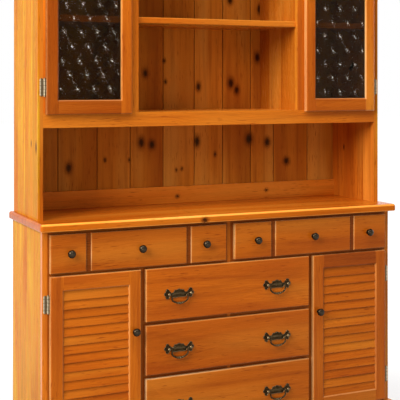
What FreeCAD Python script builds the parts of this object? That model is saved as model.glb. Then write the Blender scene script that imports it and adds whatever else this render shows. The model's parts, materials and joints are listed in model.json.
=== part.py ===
import FreeCAD
import Part

import math
import os

# A pine dresser in two parts: a base cabinet with drawers and louvred doors, and a hutch with glazed doors.
# Millimetres. X runs to the right, Y to the back, Z up. The origin is on the floor, under the box's middle.

V = FreeCAD.Vector

# Boards
carcass_board = 18.0
frame_board = 20.0
front_board = 18.0
back_board = 12.0
shelf_board = 22.0
housing_depth = 6.0
rebate_width = 9.0
tenon_length = 14.0
tenon_thickness = 7.0
tenon_shoulder = 6.0
overrun = 5.0

# Base cabinet
base_depth = 380.0
plinth_height = 100.0
plinth_board = 14.0
plinth_bead = 7.0
plinth_reveal = 8.0
lower_drawer_height = 197.0
middle_drawer_height = 174.0
upper_drawer_height = 185.0
drawer_gap = 13.0
row_gap = 10.0
top_drawer_height = 131.0
worktop_gap = 12.0
worktop_thickness = 27.0
worktop_front_overhang = 34.0
worktop_side_overhang = 14.0
worktop_corner = 9.0
worktop_top_round = 9.0
worktop_under_round = 5.0
wide_drawer_width = 660.0
mullion_reveal = 19.0
louvre_door_width = 327.0
stile_reveal = 24.0
centre_reveal = 34.0
front_lap = 12.0
closed_gap = 0.5

# Drawer fronts and doors
edge_round = 5.0
channel_width = 17.0
channel_depth = 7.0
opening_bevel = 4.0
louvre_stile = 46.0
louvre_top_rail = 51.0
louvre_bottom_rail = 46.0
left_slat_pitch = 29.5
right_slat_pitch = 31.5
slat_width = 38.0
slat_thickness = 5.0
slat_tilt_deg = 10.5
slat_housing = 7.0

# Drawer boxes
drawer_side_board = 12.0
drawer_bottom_board = 6.0
drawer_bottom_raise = 8.0
drawer_groove = 5.0
drawer_back_gap = 38.0
drawer_side_gap = 1.0
drawer_head_gap = 4.0
running_gap = 0.3
runner_width = 36.0
runner_thickness = 14.0
guide_height = 40.0

# Hutch
hutch_inset = 4.0
hutch_setback = 64.0
display_height = 316.5
hutch_rail_height = 51.5
compartment_height = 318.5
hutch_top_rail = 55.0
open_bay_width = 654.0
bay_stile_reveal = 30.0
hutch_edge_reveal = 26.4
hutch_stile_width = 30.0
glass_door_lap = 5.0
glass_stile = 42.0
glass_rail = 50.0
glass_thickness = 4.0
glass_inset = 8.0
glass_rebate = 8.0
glass_clearance = 1.0
bead_width = 7.0
open_shelf_setback = 12.0
open_shelf_round = 4.0
back_rail_height = 66.0
back_rail_thickness = 12.0
cornice_height = 56.0
cornice_overhang = 34.0
cornice_lip = 12.0
cornice_foot = 6.0

# Top drawers: where channels start and knobs sit, as shares of a front's width from its left end
left_channel_shares = (0.193, 0.761)
right_channel_shares = (0.231, 0.754)
left_knob_shares = (0.106, 0.497, 0.871)
right_knob_shares = (0.136, 0.502, 0.876)

# Tongue and groove back boards: the width of each board as a share of an even one
board_width_shares = (1.13, 1.13, 0.985, 1.005, 0.98, 0.91, 0.93, 0.78, 1.175, 0.975)
board_gap = 1.0
board_bevel = 2.0
tongue_length = 5.0
tongue_thickness = 4.0
tongue_clearance = 0.4

# Knobs, and the bolts that hold knobs and pulls from inside
knob_radius = 14.0
knob_projection = 26.0
knob_rim_radius = 4.5
knob_rim_height = 15.5
knob_rim_back_deg = 150.0
knob_foot_radius = 8.5
knob_foot_thickness = 2.0
knob_neck_radius = 5.5
knob_neck_length = 7.0
knob_drop_share = 0.364
glass_knob_rise_share = 0.68
bolt_radius = 2.0
bolt_bite = 6.0
bolt_head_radius = 4.5
bolt_head_height = 2.4

# Bail pulls
left_pull_inset = 124.0
right_pull_inset = 140.0
post_spacing = 84.0
plate_thickness = 2.5
cartouche_width = 57.0
cartouche_drop = 14.0
cartouche_foot = 6.0
waist_width = 32.0
waist_rise = 5.0
crest_width = 36.0
crest_rise = 11.5
crest_lobe_radius = 3.0
crown_radius = 6.0
arm_height = 9.0
plate_end_radius = 10.5
scroll_radius = 6.2
scroll_out = 6.5
scroll_rise = 10.5
end_lobe_radius = 5.5
end_lobe_out = 11.5
post_radius = 4.0
post_head_radius = 6.2
bail_axis_height = 10.0
bail_wire_radius = 2.8
bail_hole_clearance = 0.1
bail_drop = 32.5
bail_leg_inset = 11.0
bail_elbow_radius = 4.5
bail_bow_drop = 17.0
bail_swell_radius = 4.4
bail_swell_length = 26.0
bail_hole_depth = 3.0

# Hinges
barrel_radius = 3.0
pin_radius = 1.5
pin_clearance = 0.05
barrel_length = 56.0
door_knuckle_length = 20.0
knuckle_gap = 0.3
leaf_thickness = 1.5
door_leaf_thickness = 1.2
door_leaf_depth = 10.0
hinge_clearance = 0.3
leaf_width = 13.0
leaf_height = 64.0
leaf_tip = 5.0
finial_radius = 2.6
screw_radius = 2.2
screw_height = 0.8
screw_spacing = 40.0
louvre_hinge_inset = 94.0
glass_hinge_inset = 94.0

# Catches that hold the doors shut, and the plates that they pull on
catch_length = 40.0
catch_width = 12.0
catch_height = 14.0
strike_length = 24.0
strike_thickness = 1.2

# Dowels between the base and the hutch
dowel_radius = 4.0
dowel_length = 30.0
dowel_inset = 60.0

# Heights and half widths worked out from the sizes above
half_base = wide_drawer_width / 2 + mullion_reveal + louvre_door_width + stile_reveal
half_drawer = wide_drawer_width / 2
louvre_inner = half_drawer + mullion_reveal
fronts_outer = half_base - stile_reveal
top_drawer_inner = centre_reveal / 2
fronts_bottom = plinth_height + plinth_reveal
middle_drawer_bottom = fronts_bottom + lower_drawer_height + drawer_gap
upper_drawer_bottom = middle_drawer_bottom + middle_drawer_height + drawer_gap
lower_fronts_top = upper_drawer_bottom + upper_drawer_height
top_drawer_bottom = lower_fronts_top + row_gap
top_drawer_top = top_drawer_bottom + top_drawer_height
carcass_top = top_drawer_top + worktop_gap
base_height = carcass_top + worktop_thickness

half_hutch = half_base - hutch_inset
half_bay = open_bay_width / 2
glass_inner = half_bay + bay_stile_reveal
glass_outer = half_hutch - hutch_edge_reveal
hutch_rail_bottom = base_height + display_height
hutch_floor = hutch_rail_bottom + hutch_rail_height
shelf_bottom = hutch_floor + compartment_height
shelf_top = shelf_bottom + shelf_board
bay_top = shelf_top + compartment_height
hutch_carcass_top = bay_top + hutch_top_rail
total_height = hutch_carcass_top + carcass_board
glass_door_bottom = hutch_floor - glass_door_lap
glass_door_top = bay_top + glass_door_lap

# Planes from front to back
front_reach = max(front_board + closed_gap + knob_projection, worktop_front_overhang)
face_y = (front_reach - base_depth) / 2
back_y = face_y + base_depth
front_back_y = face_y - closed_gap
front_face_y = front_back_y - front_board
boards_y = back_y - back_board
carcass_front_y = face_y + frame_board
hutch_y = face_y + hutch_setback
hutch_inner_y = hutch_y + frame_board
glass_back_y = hutch_y - closed_gap
glass_face_y = glass_back_y - front_board

# Edges of the face frame: each front laps over it
floor_top = fronts_bottom + front_lap
stile_inner = fronts_outer - front_lap
mullion_outer = louvre_inner + front_lap
mullion_inner = half_drawer - front_lap
centre_stile_half = top_drawer_inner + front_lap
mid_rail_bottom = lower_fronts_top - front_lap
mid_rail_top = top_drawer_bottom + front_lap
top_rail_bottom = top_drawer_top - front_lap
partition_middle = (mullion_inner + mullion_outer) / 2
partition_inner = partition_middle - carcass_board / 2
partition_outer = partition_middle + carcass_board / 2


def block(x0, x1, y0, y1, z0, z1):
    """A box between three pairs of planes."""
    return Part.makeBox(x1 - x0, y1 - y0, z1 - z0, V(x0, y0, z0))


def prism(points, direction):
    """A flat outline, given as points, pushed along a direction."""
    return Part.Face(Part.makePolygon(list(points) + [points[0]])).extrude(direction)


def mirrored(shape):
    """The same piece on the other side of the cabinet."""
    return shape.mirror(V(0, 0, 0), V(1, 0, 0))


def both_sides(shape):
    """A piece on the right and its twin on the left."""
    return [shape, mirrored(shape)]


def joined(shapes):
    """Shapes that make one solid."""
    body = shapes[0]
    for other in shapes[1:]:
        body = body.fuse(other)
    return body.removeSplitter()


def cut_by(shape, tools):
    """The shape without what the tools take away."""
    for tool in tools:
        shape = shape.cut(tool)
    return shape


def edges_at(shape, coordinate, value):
    """The edges whose ends all lie on one plane, such as Y equal to a value."""
    tolerance = 1e-6

    def on_plane(vertex):
        return abs(getattr(vertex, coordinate) - value) < tolerance

    return [e for e in shape.Edges if all(on_plane(v) for v in e.Vertexes)]


def rounded_front(x0, x1, z0, z1, y0, y1):
    """A board with its front edges rounded over. y0 is the front."""
    board = block(x0, x1, y0, y1, z0, z1)
    return board.makeFillet(edge_round, edges_at(board, "Y", y0))


def ball(x, y, z, radius):
    """A ball about a point."""
    return Part.makeSphere(radius, V(x, y, z))


def rod(x, y, z, radius, length, direction):
    """A round rod from a point along a direction."""
    return Part.makeCylinder(radius, length, V(x, y, z), direction)


def save(name, shapes):
    """Writes the solids of one named piece."""
    solids = [solid for shape in shapes for solid in shape.Solids]
    for solid in solids:
        if not solid.isValid() or solid.Volume <= 0:
            raise ValueError("bad solid in " + name)
    body = solids[0] if len(solids) == 1 else Part.makeCompound(solids)
    body.exportStep(os.path.join("parts", name + ".step"))


def mitred_surround(profile, reach, half_width, front, rear):
    """A moulding round the front and both sides. The profile is a face in X (outwards) and Z."""
    front_run = profile.copy()
    front_run.rotate(V(0, 0, 0), V(0, 0, 1), -90)
    front_run.translate(V(-half_width - reach, front, 0))
    front_run = front_run.extrude(V(2 * (half_width + reach), 0, 0))
    side_run = profile.copy()
    side_run.translate(V(half_width, front - reach, 0))
    side_run = side_run.extrude(V(0, rear - front + reach, 0))
    low = front_run.BoundBox.ZMin
    rise = V(0, 0, front_run.BoundBox.ZLength)
    outer_x = half_width + reach
    front_plan = prism(
        [
            V(-outer_x, front - reach, low),
            V(outer_x, front - reach, low),
            V(half_width, front, low),
            V(-half_width, front, low),
        ],
        rise,
    )
    side_plan = prism(
        [
            V(half_width, front, low),
            V(outer_x, front - reach, low),
            V(outer_x, rear, low),
            V(half_width, rear, low),
        ],
        rise,
    )
    return [front_run.common(front_plan)] + both_sides(side_run.common(side_plan))


def tongued_boards(half_width, y0, z0, z1):
    """Upright boards side by side, each with a tongue that sits in its neighbour's groove."""
    y1 = y0 + back_board
    tongue_front = y0 + (back_board - tongue_thickness) / 2
    tongue_back = tongue_front + tongue_thickness
    boards = []
    left = -half_width
    last = len(board_width_shares) - 1
    for i, share in enumerate(board_width_shares):
        right = left + 2 * half_width * share / sum(board_width_shares)
        x0 = left if i == 0 else left + board_gap / 2
        x1 = right if i == last else right - board_gap / 2
        outline = [V(x0 + board_bevel, y0, z0), V(x1 - board_bevel, y0, z0), V(x1, y0 + board_bevel, z0)]
        if i < last:
            tip = x1 + tongue_length
            tongue = ((x1, tongue_front), (tip, tongue_front), (tip, tongue_back), (x1, tongue_back))
            outline += [V(x, y, z0) for x, y in tongue]
        outline += [V(x1, y1, z0), V(x0, y1, z0)]
        if i > 0:
            deep = x0 + tongue_length
            wide = tongue_back + tongue_clearance
            near = tongue_front - tongue_clearance
            outline += [V(x0, wide, z0), V(deep, wide, z0), V(deep, near, z0), V(x0, near, z0)]
        outline += [V(x0, y0 + board_bevel, z0)]
        boards.append(prism(outline, V(0, 0, z1 - z0)))
        left = right
    return boards


def tenon(x0, x1, z0, z1, y0, y1):
    """The stub of a rail that enters a stile, in the middle of the rail's thickness."""
    middle = (y0 + y1) / 2
    half = tenon_thickness / 2
    return block(x0, x1, middle - half, middle + half, z0 + tenon_shoulder, z1 - tenon_shoulder)


def rail(x0, x1, z0, z1, y0, y1):
    """A rail between two stiles, with a tenon at each end."""
    stubs = tenon(x0 - tenon_length, x1 + tenon_length, z0, z1, y0, y1)
    return joined([block(x0, x1, y0, y1, z0, z1), stubs])


def hutch_dowels():
    """Dowels that stand in the worktop and enter the hutch's sides from below."""
    x = half_hutch - carcass_board / 2
    places = (hutch_y + dowel_inset, back_y - dowel_inset)
    start = base_height - dowel_length / 2
    right = [rod(x, y, start, dowel_radius, dowel_length, V(0, 0, 1)) for y in places]
    return right + [mirrored(d) for d in right]


def make_worktop(dowels):
    """The top of the base, with a rounded nose on three sides."""
    half = half_base + worktop_side_overhang
    front = face_y - worktop_front_overhang
    top = block(-half, half, front, back_y, carcass_top, base_height)
    corners = [e for e in edges_at(top, "Y", front) if abs(e.Vertexes[0].X - e.Vertexes[1].X) < overrun]
    top = top.makeFillet(worktop_corner, corners)

    def nose(height):
        return [e for e in edges_at(top, "Z", height) if min(v.Y for v in e.Vertexes) < back_y - overrun]

    top = top.makeFillet(worktop_top_round, nose(base_height))
    top = top.makeFillet(worktop_under_round, nose(carcass_top))
    save("worktop", [cut_by(top, dowels)])
    save("hutch_dowels", dowels)


def make_base():
    """The base cabinet's fixed boards and face frame. Returns the shelves behind the louvred doors."""
    inner = half_base - carcass_board
    housed = inner + housing_depth
    floor_board = block(-housed, housed, carcass_front_y, boards_y, floor_top - carcass_board, floor_top)
    dust_board = block(-housed, housed, carcass_front_y, boards_y, mid_rail_top - carcass_board, mid_rail_top)
    partition = block(
        partition_inner,
        partition_outer,
        carcass_front_y,
        boards_y,
        floor_top - housing_depth,
        mid_rail_top - carcass_board + housing_depth,
    )
    half_board = carcass_board / 2
    divider_foot = mid_rail_top - housing_depth
    divider = block(-half_board, half_board, carcass_front_y, boards_y, divider_foot, carcass_top)
    middle = (floor_top + mid_rail_top - carcass_board) / 2
    shelf = block(
        partition_outer - housing_depth,
        housed,
        carcass_front_y + closed_gap,
        boards_y,
        middle - carcass_board / 2,
        middle + carcass_board / 2,
    )
    rebate = block(inner - overrun, inner + rebate_width, boards_y, back_y + overrun, 0, carcass_top)
    side = block(inner, half_base, carcass_front_y, back_y, 0, carcass_top)
    side = cut_by(side, [floor_board, dust_board, shelf, rebate])
    partitions = both_sides(partition.cut(shelf))
    floor_board = cut_by(floor_board, partitions)
    dust_board = cut_by(dust_board, partitions + [divider])

    save("base_sides", both_sides(side))
    save("base_floor_board", [floor_board])
    save("dust_board", [dust_board])
    save("base_partitions", partitions + [divider])
    save("base_back_boards", tongued_boards(inner + rebate_width - closed_gap, boards_y, 0, carcass_top))
    make_face_frame()
    make_runners()
    return both_sides(shelf)


def make_face_frame():
    """Stiles and rails round the openings of the base, with every rail tenoned into its stiles."""
    y0 = face_y
    y1 = carcass_front_y
    bottom_rail = rail(-stile_inner, stile_inner, plinth_height - front_lap, floor_top, y0, y1)
    mid_rail = rail(-stile_inner, stile_inner, mid_rail_bottom, mid_rail_top, y0, y1)
    top_rail = rail(-stile_inner, stile_inner, top_rail_bottom, carcass_top, y0, y1)
    drawer_rails = [
        rail(-mullion_inner, mullion_inner, z - drawer_gap - front_lap, z + front_lap, y0, y1)
        for z in (middle_drawer_bottom, upper_drawer_bottom)
    ]
    stile = block(stile_inner, half_base, y0, y1, 0, carcass_top)
    middle = (y0 + y1) / 2
    half = tenon_thickness / 2

    def upright(x0, x1, z0, z1):
        stub_x0 = x0 + tenon_shoulder
        stub_x1 = x1 - tenon_shoulder
        stub = block(stub_x0, stub_x1, middle - half, middle + half, z0 - tenon_length, z1 + tenon_length)
        return joined([block(x0, x1, y0, y1, z0, z1), stub])

    mullions = both_sides(upright(mullion_inner, mullion_outer, floor_top, mid_rail_bottom))
    centre_stile = upright(-centre_stile_half, centre_stile_half, mid_rail_top, top_rail_bottom)
    rails = [bottom_rail, mid_rail, top_rail]
    stiles = [cut_by(s, rails) for s in both_sides(stile)]
    mullions = [cut_by(m, drawer_rails) for m in mullions]
    rails = [cut_by(r, mullions + [centre_stile]) for r in rails]
    save("base_face_frame", stiles + mullions + [centre_stile] + rails + drawer_rails)


def make_runners():
    """Strips that carry the wide drawers, and strips that guide all drawers at their sides."""
    strips = []
    runner_in = partition_inner - runner_width
    for bottom in (middle_drawer_bottom, upper_drawer_bottom):
        top = bottom + front_lap
        under = top - runner_thickness
        strips += both_sides(block(runner_in, partition_inner, carcass_front_y, boards_y, under, top))
    for bottom in (fronts_bottom, middle_drawer_bottom, upper_drawer_bottom):
        low = bottom + front_lap
        high = low + guide_height
        strips += both_sides(block(mullion_inner, partition_inner, carcass_front_y, boards_y, low, high))
    side_inner = half_base - carcass_board
    upper = mid_rail_top + guide_height
    strips += both_sides(block(stile_inner, side_inner, carcass_front_y, boards_y, mid_rail_top, upper))
    half_board = carcass_board / 2
    strips += both_sides(block(half_board, centre_stile_half, carcass_front_y, boards_y, mid_rail_top, upper))
    save("drawer_runners", strips)


def make_plinth():
    """The skirting round the foot of the base, with a rounded top edge."""
    corner = V(plinth_board - plinth_bead, 0, plinth_height - plinth_bead)
    lean = math.sqrt(0.5) * plinth_bead
    outline = [
        Part.makeLine(V(0, 0, 0), V(plinth_board, 0, 0)),
        Part.makeLine(V(plinth_board, 0, 0), V(plinth_board, 0, plinth_height - plinth_bead)),
        Part.Arc(
            V(plinth_board, 0, plinth_height - plinth_bead),
            corner + V(lean, 0, lean),
            V(plinth_board - plinth_bead, 0, plinth_height),
        ).toShape(),
        Part.makeLine(V(plinth_board - plinth_bead, 0, plinth_height), V(0, 0, plinth_height)),
        Part.makeLine(V(0, 0, plinth_height), V(0, 0, 0)),
    ]
    face = Part.Face(Part.Wire(outline))
    save("plinth_boards", mitred_surround(face, plinth_board, half_base, face_y, back_y))


def make_cornice():
    """The moulding at the top of the hutch: a foot, a hollow that flares out, and a square lip."""
    top = total_height
    foot = top - cornice_height
    lip = top - cornice_lip
    hollow_start = V(cornice_foot, 0, foot)
    hollow_end = V(cornice_overhang, 0, lip)
    across = cornice_overhang - cornice_foot
    rise = lip - foot
    lean = math.sqrt(0.5)
    hollow_middle = V(cornice_overhang - across * lean, 0, foot + rise * lean)
    outline = [
        Part.makeLine(V(0, 0, foot), hollow_start),
        Part.Arc(hollow_start, hollow_middle, hollow_end).toShape(),
        Part.makeLine(hollow_end, V(cornice_overhang, 0, top)),
        Part.makeLine(V(cornice_overhang, 0, top), V(0, 0, top)),
        Part.makeLine(V(0, 0, top), V(0, 0, foot)),
    ]
    face = Part.Face(Part.Wire(outline))
    save("cornice_moulding", mitred_surround(face, cornice_overhang, half_hutch, hutch_y, back_y))


def make_hutch(dowels):
    """The hutch's fixed boards and face frame. Returns the shelves behind the glazed doors."""
    inner = half_hutch - carcass_board
    housed = inner + housing_depth
    floor_board = block(-housed, housed, hutch_inner_y, boards_y, hutch_floor - carcass_board, hutch_floor)
    bay_side = half_bay + carcass_board
    foot = hutch_floor - housing_depth
    partition = block(half_bay, bay_side, hutch_inner_y, boards_y, foot, hutch_carcass_top)
    shelf_front = hutch_y + open_shelf_setback
    open_shelf = block(-half_bay, half_bay, shelf_front, boards_y, shelf_bottom, shelf_top)
    front_edges = edges_at(open_shelf, "Y", shelf_front)
    long_edges = [e for e in front_edges if abs(e.Vertexes[0].X - e.Vertexes[1].X) > overrun]
    open_shelf = open_shelf.makeFillet(open_shelf_round, long_edges)
    bay_housed = half_bay + housing_depth
    tongue = block(-bay_housed, bay_housed, hutch_inner_y, boards_y, shelf_bottom, shelf_top)
    open_shelf = joined([open_shelf, tongue])
    side_shelf_front = hutch_inner_y + closed_gap
    side_shelf = block(bay_side - housing_depth, housed, side_shelf_front, boards_y, shelf_bottom, shelf_top)
    rebate_x1 = inner + rebate_width
    rebate = block(inner - overrun, rebate_x1, boards_y, back_y + overrun, base_height, hutch_carcass_top)
    side = block(inner, half_hutch, hutch_y, back_y, base_height, hutch_carcass_top)
    lower_rail = rail(-inner, inner, hutch_rail_bottom, hutch_floor, hutch_y, hutch_inner_y)
    upper_rail = rail(-inner, inner, bay_top, hutch_carcass_top, hutch_y, hutch_inner_y)
    side_shelves = both_sides(side_shelf)
    housings = [floor_board, lower_rail, upper_rail] + side_shelves + both_sides(rebate) + dowels
    sides = [cut_by(s, housings) for s in both_sides(side)]
    partitions = [cut_by(p, [open_shelf] + side_shelves) for p in both_sides(partition)]
    floor_board = cut_by(floor_board, partitions)
    outer_stile = block(inner - hutch_stile_width, inner, hutch_y, hutch_inner_y, hutch_floor, bay_top)
    bay_stile = block(half_bay, glass_inner + glass_door_lap, hutch_y, hutch_inner_y, hutch_floor, bay_top)

    save("hutch_sides", sides)
    save("hutch_floor_board", [floor_board])
    save("hutch_partitions", partitions)
    save("hutch_open_shelf", [open_shelf])
    save("hutch_face_frame", [lower_rail, upper_rail] + both_sides(outer_stile) + both_sides(bay_stile))
    half_boards = rebate_x1 - closed_gap
    save("hutch_back_boards", tongued_boards(half_boards, boards_y, base_height, hutch_carcass_top))
    splash_top = base_height + back_rail_height
    splash = block(-inner, inner, boards_y - back_rail_thickness, boards_y, base_height, splash_top)
    save("hutch_back_rail", [splash])
    lid = block(-half_hutch, half_hutch, hutch_y, back_y, hutch_carcass_top, total_height)
    save("hutch_top_board", [lid])
    return side_shelves


def drawer(name, front_box, opening, fittings, channel_shares):
    """A drawer: a front that laps over the frame, and a box of two sides, a back and a thin bottom."""
    x0, x1, z0, z1 = front_box
    opening_x0, opening_x1, opening_z0, opening_z1 = opening
    front = block(x0, x1, front_face_y, front_back_y, z0, z1)
    groove_y = front_face_y + channel_depth
    for share in channel_shares:
        start = x0 + share * (x1 - x0)
        end = start + channel_width
        front = front.cut(block(start, end, front_face_y - overrun, groove_y, z0 - overrun, z1 + overrun))
    front = front.makeFillet(edge_round, edges_at(front, "Y", front_face_y))
    box_x0 = opening_x0 + drawer_side_gap
    box_x1 = opening_x1 - drawer_side_gap
    box_z0 = opening_z0 + running_gap
    box_z1 = opening_z1 - drawer_head_gap
    box_back = boards_y - drawer_back_gap
    into_front = front_back_y - housing_depth
    sides = [
        block(box_x0, box_x0 + drawer_side_board, into_front, box_back, box_z0, box_z1),
        block(box_x1 - drawer_side_board, box_x1, into_front, box_back, box_z0, box_z1),
    ]
    bottom_z = box_z0 + drawer_bottom_raise
    bottom = block(
        box_x0 + drawer_side_board - drawer_groove,
        box_x1 - drawer_side_board + drawer_groove,
        into_front,
        box_back,
        bottom_z,
        bottom_z + drawer_bottom_board,
    )
    back = block(
        box_x0 + drawer_side_board - drawer_groove,
        box_x1 - drawer_side_board + drawer_groove,
        box_back - 2 * drawer_side_board,
        box_back - drawer_side_board,
        bottom_z + drawer_bottom_board,
        box_z1 - drawer_bottom_raise,
    )
    front = cut_by(front, sides + [bottom] + fittings)
    sides = [cut_by(s, [bottom, back]) for s in sides]
    save(name + "_front", [front])
    save(name + "_box", sides + [bottom, back])


def bolt(x, z, face):
    """A bolt through a front board, with its head inside. face is the board's front."""
    inside = face + front_board
    shank = rod(x, face - bolt_bite, z, bolt_radius, front_board + bolt_bite, V(0, 1, 0))
    cap_radius = (bolt_head_radius**2 + bolt_head_height**2) / (2 * bolt_head_height)
    half = bolt_head_radius + overrun
    room = block(x - half, x + half, inside, inside + bolt_head_height + overrun, z - half, z + half)
    head = ball(x, inside + bolt_head_height - cap_radius, z, cap_radius).common(room)
    return joined([shank, head])


def knob(x, z, face):
    """A turned knob and its bolt. The knob is a foot, a neck, a flare, a round rim and a domed front."""
    rim_centre = knob_radius - knob_rim_radius
    rise = knob_projection - knob_rim_height
    dome = (rim_centre**2 + rise**2 - knob_rim_radius**2) / (2 * (rise - knob_rim_radius))
    lean = math.atan2(rim_centre, knob_rim_height - knob_projection + dome)

    def on_rim(angle):
        out = rim_centre + knob_rim_radius * math.sin(angle)
        return V(out, knob_rim_height + knob_rim_radius * math.cos(angle), 0)

    def on_dome(angle):
        return V(dome * math.sin(angle), knob_projection - dome + dome * math.cos(angle), 0)

    back = math.radians(knob_rim_back_deg)
    corners = [
        V(0, 0, 0),
        V(knob_foot_radius, 0, 0),
        V(knob_foot_radius, knob_foot_thickness, 0),
        V(knob_neck_radius, knob_foot_thickness, 0),
        V(knob_neck_radius, knob_neck_length, 0),
        on_rim(back),
    ]
    outline = [Part.makeLine(p, q) for p, q in zip(corners, corners[1:])]
    outline.append(Part.Arc(on_rim(back), on_rim((back + lean) / 2), on_rim(lean)).toShape())
    outline.append(Part.Arc(on_rim(lean), on_dome(lean / 2), on_dome(0)).toShape())
    outline.append(Part.makeLine(on_dome(0), V(0, 0, 0)))
    turned = Part.Face(Part.Wire(outline)).revolve(V(0, 0, 0), V(0, 1, 0), 360)
    turned.rotate(V(0, 0, 0), V(1, 0, 0), 180)
    turned.translate(V(x, face, z))
    fixing = bolt(x, z, face)
    return [turned.cut(fixing), fixing]


def pull_plate(x, z):
    """The back plate of a bail pull with its two posts, on a drawer front, and the bolts in the posts."""
    face = front_face_y
    forward = V(0, -1, 0)
    half_foot = cartouche_width / 2
    half_waist = waist_width / 2
    half_crest = crest_width / 2
    end_x = post_spacing / 2
    foot_top = cartouche_foot - cartouche_drop
    right = [V(half_foot, 0, -cartouche_drop), V(half_foot, 0, foot_top), V(half_waist, 0, waist_rise),
             V(half_crest, 0, crest_rise)]
    left = [V(-p.x, 0, p.z) for p in reversed(right)]
    pieces = [
        prism(right + left, V(0, -plate_thickness, 0)),
        block(-end_x, end_x, -plate_thickness, 0, -arm_height / 2, arm_height / 2),
        rod(0, 0, crest_rise - crown_radius / 4, crown_radius, plate_thickness, forward),
    ]
    for side in (-1, 1):
        pieces.append(rod(side * half_crest, 0, crest_rise, crest_lobe_radius, plate_thickness, forward))
        pieces.append(rod(side * end_x, 0, 0, plate_end_radius, plate_thickness, forward))
        pieces.append(rod(side * (end_x + end_lobe_out), 0, 0, end_lobe_radius, plate_thickness, forward))
        for rise in (-scroll_rise, scroll_rise):
            pieces.append(rod(side * (end_x + scroll_out), 0, rise, scroll_radius, plate_thickness, forward))
        pieces.append(rod(side * end_x, 0, 0, post_radius, bail_axis_height, forward))
        pieces.append(ball(side * end_x, -bail_axis_height, 0, post_head_radius))
    plate = joined(pieces)
    hole_start = end_x - post_head_radius - overrun
    hole_length = post_head_radius + overrun + bail_hole_depth
    hole_radius = bail_wire_radius + bail_hole_clearance
    for side in (-1, 1):
        hole = rod(side * hole_start, -bail_axis_height, 0, hole_radius, hole_length, V(side, 0, 0))
        plate = plate.cut(hole)
    plate.translate(V(x, face, z))
    bolts = [bolt(x + side * end_x, z, face) for side in (-1, 1)]
    return [cut_by(plate, bolts)] + bolts


def bail(x, z):
    """The hanging handle: a wire with two pivots, two legs, a bow between them and a swelled grip."""
    pivot = post_spacing / 2 + bail_hole_depth - bail_hole_clearance
    leg = post_spacing / 2 - bail_leg_inset
    elbow = bail_elbow_radius
    lean = 1 - math.sqrt(0.5)
    y = -bail_axis_height
    bow_z = bail_bow_drop - bail_drop

    def top_of_leg(side):
        start = V(side * pivot, y, 0)
        a = V(side * (leg + elbow), y, 0)
        a_mid = V(side * (leg + elbow * lean), y, -elbow * lean)
        b = V(side * leg, y, -elbow)
        foot = V(side * leg, y, bow_z)
        return [Part.makeLine(start, a), Part.Arc(a, a_mid, b).toShape(), Part.makeLine(b, foot)]

    bow = Part.Ellipse(V(leg, y, bow_z), V(0, y, -bail_drop), V(0, y, bow_z))
    path = Part.Wire(Part.__sortEdges__(top_of_leg(-1) + [bow.toShape(0, math.pi)] + top_of_leg(1)))
    section = Part.Wire([Part.makeCircle(bail_wire_radius, V(-pivot, y, 0), V(1, 0, 0))])
    wire = path.makePipeShell([section], True, False)
    half = bail_swell_length / 2
    end = bail_wire_radius / 2
    outline = [
        Part.makeLine(V(-half, 0, 0), V(-half, end, 0)),
        Part.Arc(V(-half, end, 0), V(0, bail_swell_radius, 0), V(half, end, 0)).toShape(),
        Part.makeLine(V(half, end, 0), V(half, 0, 0)),
        Part.makeLine(V(half, 0, 0), V(-half, 0, 0)),
    ]
    swell = Part.Face(Part.Wire(outline)).revolve(V(0, 0, 0), V(1, 0, 0), 360)
    swell.translate(V(0, y, -bail_drop))
    handle = wire.fuse(swell)
    handle.translate(V(x, front_face_y, z))
    return handle


def door_frame(x0, x1, z0, z1, y0, y1, stile, bottom, top):
    """Two stiles and two rails, rounded outside and bevelled round the opening: left, right, low, high."""
    envelope = rounded_front(x0, x1, z0, z1, y0, y1)
    in_x0 = x0 + stile
    in_x1 = x1 - stile
    in_z0 = z0 + bottom
    in_z1 = z1 - top
    b = opening_bevel

    def opening_outline(grown, y):
        low_x, high_x = in_x0 - grown, in_x1 + grown
        low_z, high_z = in_z0 - grown, in_z1 + grown
        corners = ((low_x, low_z), (high_x, low_z), (high_x, high_z), (low_x, high_z), (low_x, low_z))
        return Part.makePolygon([V(x, y, z) for x, z in corners])

    bevel = Part.makeLoft([opening_outline(b, y0), opening_outline(0, y0 + b)], True, True)
    low = rail(in_x0, in_x1, z0, in_z0, y0, y1)
    high = rail(in_x0, in_x1, in_z1, z1, y0, y1)
    left = block(x0, in_x0, y0, y1, z0, z1).cut(low).cut(high)
    right = block(in_x1, x1, y0, y1, z0, z1).cut(low).cut(high)
    return [piece.common(envelope).cut(bevel) for piece in (left, right, low, high)]


def louvre_slats(x0, x1, z0, z1, y0, y1, even_pitch):
    """Slats one above another, each leaning forward at its foot, let into the stiles at both ends."""
    count = int(round((z1 - z0) / even_pitch))
    pitch = (z1 - z0) / count
    half_t = slat_thickness / 2
    half_w = slat_width / 2 - half_t
    section = Part.Wire(
        [
            Part.makeLine(V(x0, half_t, -half_w), V(x0, half_t, half_w)),
            Part.Arc(V(x0, half_t, half_w), V(x0, 0, half_w + half_t), V(x0, -half_t, half_w)).toShape(),
            Part.makeLine(V(x0, -half_t, half_w), V(x0, -half_t, -half_w)),
            Part.Arc(V(x0, -half_t, -half_w), V(x0, 0, -half_w - half_t), V(x0, half_t, -half_w)).toShape(),
        ]
    )
    slats = []
    for i in range(count):
        slat = Part.Face(section).extrude(V(x1 - x0, 0, 0))
        slat.rotate(V(0, 0, 0), V(1, 0, 0), -slat_tilt_deg)
        slat.translate(V(0, (y0 + y1) / 2, z0 + (i + 0.5) * pitch))
        slats.append(slat)
    trim = block(x0 - overrun, x1 + overrun, y0, y1, z0 + running_gap, z1 - running_gap)
    slats[0] = slats[0].common(trim)
    slats[-1] = slats[-1].common(trim)
    return slats


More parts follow.
